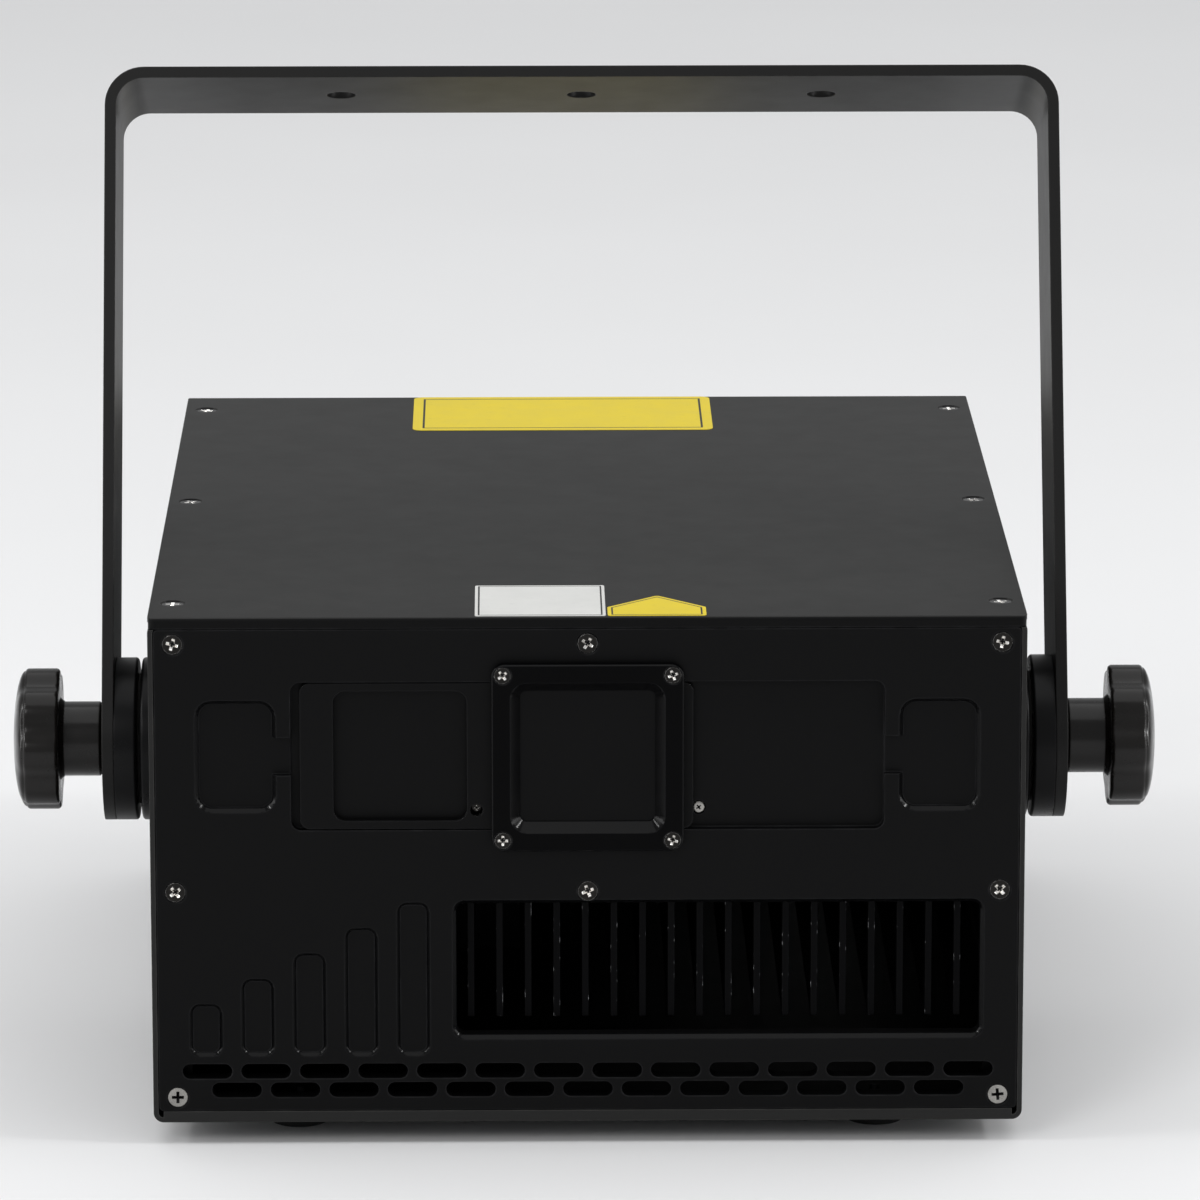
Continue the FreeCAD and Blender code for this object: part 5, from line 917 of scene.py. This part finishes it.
def mains_pins(shape):
    """Metal skins on the three blades of the mains inlet."""
    spacing, lift = 7.0 * MM, 2.0 * MM
    width, height = 2.0 * MM + 2 * PIN_SKIN, 4.0 * MM + 2 * PIN_SKIN
    bottom, tip = -16.0 * MM, -3.0 * MM + PIN_SKIN
    corner, edge = 0.3 * MM, 0.04 * MM
    for across, up in ((-spacing, -lift), (spacing, -lift), (0, lift)):
        pin = bmesh.new()
        prism(pin, rectangle(width, height), corner, bottom, tip, edge)
        join(shape, pin, flange_middle("power_inlet") + Vector((across, 0, up)), "back")


def socket_pins():
    """The metal pins of the round input socket and the mains inlet."""
    shape = bmesh.new()
    round_pins(shape)
    mains_pins(shape)
    piece("socket_pins", shape, "housing", [LOOKS["socket_steel"]])


# Front panel, with its level bars counted from the left

PANEL_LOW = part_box("front_panel")[0]
BEHIND_FACE = 2.0 * MM
LOW_ROW_REACH = 20.0 * MM
# Least cosine of a face turned to the front, and the range of one that slopes
FRONT_COSINE = 0.6
SLANT_COSINES = (0.2, 0.97)
BAR_COUNT = 5
BAR_PITCH = 15.5 * MM
BAR_INSET = 14.3 * MM
BAR_REACH = 6.2 * MM
BAR_LOWEST = 16.4 * MM
BAR_HIGHEST = 64.6 * MM
BAR_SQUEEZE = 1.0 * MM


def faces_front(face):
    """True on faces turned to the front."""
    return -face.normal.y > FRONT_COSINE


def shaded_behind_front(face):
    """True on faces turned to the front, behind the front panel's own face, which take a darker black as
    painted shade seen through the slots.
    """
    return faces_front(face) and face.calc_center_median().y > PANEL_LOW.y + BEHIND_FACE


def slants(face):
    """True on faces that slope away from the front."""
    low, high = SLANT_COSINES
    return low < -face.normal.y < high


def in_low_row(place):
    """True on the panel's lowest screws."""
    return place.z < PANEL_LOW.z + LOW_ROW_REACH


def on_right(place):
    """True right of the middle line."""
    return place.x > 0


def narrow_bars(shape):
    """Brings the side walls of the level bars nearer to their middle lines."""
    for vert in shape.verts:
        along = vert.co.x - PANEL_LOW.x - BAR_INSET
        index = round(along / BAR_PITCH)
        offset = along - BAR_PITCH * index
        in_bars = 0 <= index < BAR_COUNT and abs(offset) < BAR_REACH
        if in_bars and BAR_LOWEST < vert.co.z - PANEL_LOW.z < BAR_HIGHEST:
            vert.co.x -= math.copysign(BAR_SQUEEZE, offset)


# Pieces

FINE_EDGE = 0.3 * MM
PANEL_EDGE = 0.12 * MM
BEZEL_EDGE = 0.2 * MM
TRAY_EDGE = 0.25 * MM
YOKE_EDGE = 0.45 * MM

softened("yoke", YOKE_EDGE)
for node in ("friction_disc_left", "friction_disc_right", "pivot_boss_left", "pivot_boss_right"):
    softened(node, FINE_EDGE)
# The lid's front face takes the darker front black as painted shade under its top edge
softened("top_lid", FINE_EDGE, SHADED_FRONT_BLACK, faces_front)
softened("front_panel", PANEL_EDGE, FRONT_CUT, slants, narrow_bars)
# Faces inside the tray that show through the front slots take the darkest black as painted shade
softened("chassis_tray", TRAY_EDGE, BEZEL_AND_SHADE_BLACK, shaded_behind_front)
softened("aperture_bezel", BEZEL_EDGE, FRONT_CUT, slants)
softened("shutter_slide", FINE_EDGE, FRONT_CUT, slants)
screws("front_panel_screws", "front", flat_screw, NICKEL, in_low_row)
screws("bezel_screws", "front", flat_screw, NICKEL)
screws("lid_screws", "up", flat_screw, NICKEL)
screws("window_screws", "front", pan_screw, NICKEL, on_right)
screws("rear_panel_screws", "back", pan_screw, NICKEL)
screws("fan_screws", "back", pan_screw, NICKEL)
screws("foot_screws", "down", pan_screw, BLACKENED)
knob("knob_left", -1)
knob("knob_right", 1)
rear_yellow_sticker()
front_white_sticker()
front_yellow_sticker()
signal_socket()
socket_screws()
latch_tab()
socket_pins()


# Stage, light and camera

def floor_paper():
    """Pale paper with a faint tone."""
    look = Look("studio_paper")
    tone = look.noise(scale=3.0, detail=3.0)
    look.feed(Base_Color=look.blend(tone, (0.78, 0.78, 0.785, 1.0), (0.82, 0.82, 0.825, 1.0)))
    look.set(Roughness=0.9, Specular_IOR_Level=0.05)
    return look.material


def stage():
    """A wide round floor."""
    reach, steps = 9.0, 64
    shape = bmesh.new()
    cone(shape, ring(shape, reach, 0, steps), (0, 0, 0))
    bmesh.ops.recalc_face_normals(shape, faces=shape.faces)
    mesh = bpy.data.meshes.new("studio_floor")
    shape.to_mesh(mesh)
    shape.free()
    mesh.materials.append(floor_paper())
    floor = bpy.data.objects.new("studio_floor", mesh)
    bpy.context.collection.objects.link(floor)


def softbox(name, place, size, power):
    """A rectangular lamp that faces the middle of the object."""
    middle = Vector((0.0, 0.0, 0.14))
    lamp = bpy.data.lights.new(name, "AREA")
    lamp.shape = "RECTANGLE"
    lamp.size, lamp.size_y = size
    lamp.energy = power
    holder = bpy.data.objects.new(name, lamp)
    holder.location = place
    holder.rotation_euler = (middle - Vector(place)).to_track_quat("-Z", "Y").to_euler()
    bpy.context.collection.objects.link(holder)


def surround():
    """Pale even light from all round."""
    pale, strength = (0.98, 0.99, 1.0, 1.0), 0.5
    world = bpy.data.worlds.new("studio_world")
    world.use_nodes = True
    back = world.node_tree.nodes["Background"]
    back.inputs["Color"].default_value = pale
    back.inputs["Strength"].default_value = strength
    bpy.context.scene.world = world


def lights():
    """A large overhead box, a soft front box, two side strips, two small spots and a pale surround."""
    softbox("top_box", place=(0.0, 0.3, 3.6), size=(4.5, 4.5), power=62.0)
    softbox("front_box", place=(-1.3, -2.3, 1.7), size=(1.0, 1.0), power=16.0)
    softbox("left_strip", place=(-1.7, -0.2, 0.7), size=(0.4, 1.4), power=9.0)
    softbox("right_strip", place=(1.7, -0.2, 0.7), size=(0.4, 1.4), power=9.0)
    softbox("left_spot", place=(-1.8, -0.55, 1.38), size=(0.14, 0.14), power=4.0)
    softbox("right_spot", place=(1.8, -0.55, 1.38), size=(0.14, 0.14), power=7.0)
    surround()


def camera():
    """The photograph's viewpoint: a long lens a little above, almost straight on."""
    image_pixels = 1200.0
    focal_pixels = 7901.0
    sensor = 36.0
    viewpoint = (-0.02376, -2.43018, 0.70057)
    pitch, yaw, roll = math.radians(13.23), math.radians(0.70), math.radians(0.03)
    view = bpy.data.cameras.new("photo_view")
    view.sensor_width = sensor
    view.lens = focal_pixels / image_pixels * sensor
    holder = bpy.data.objects.new("photo_view", view)
    holder.location = viewpoint
    holder.rotation_euler = Euler((math.pi / 2 - pitch, roll, -yaw), "XYZ")
    bpy.context.collection.objects.link(holder)
    bpy.context.scene.camera = holder


stage()
lights()
camera()
bpy.context.scene.view_settings.view_transform = "Standard"
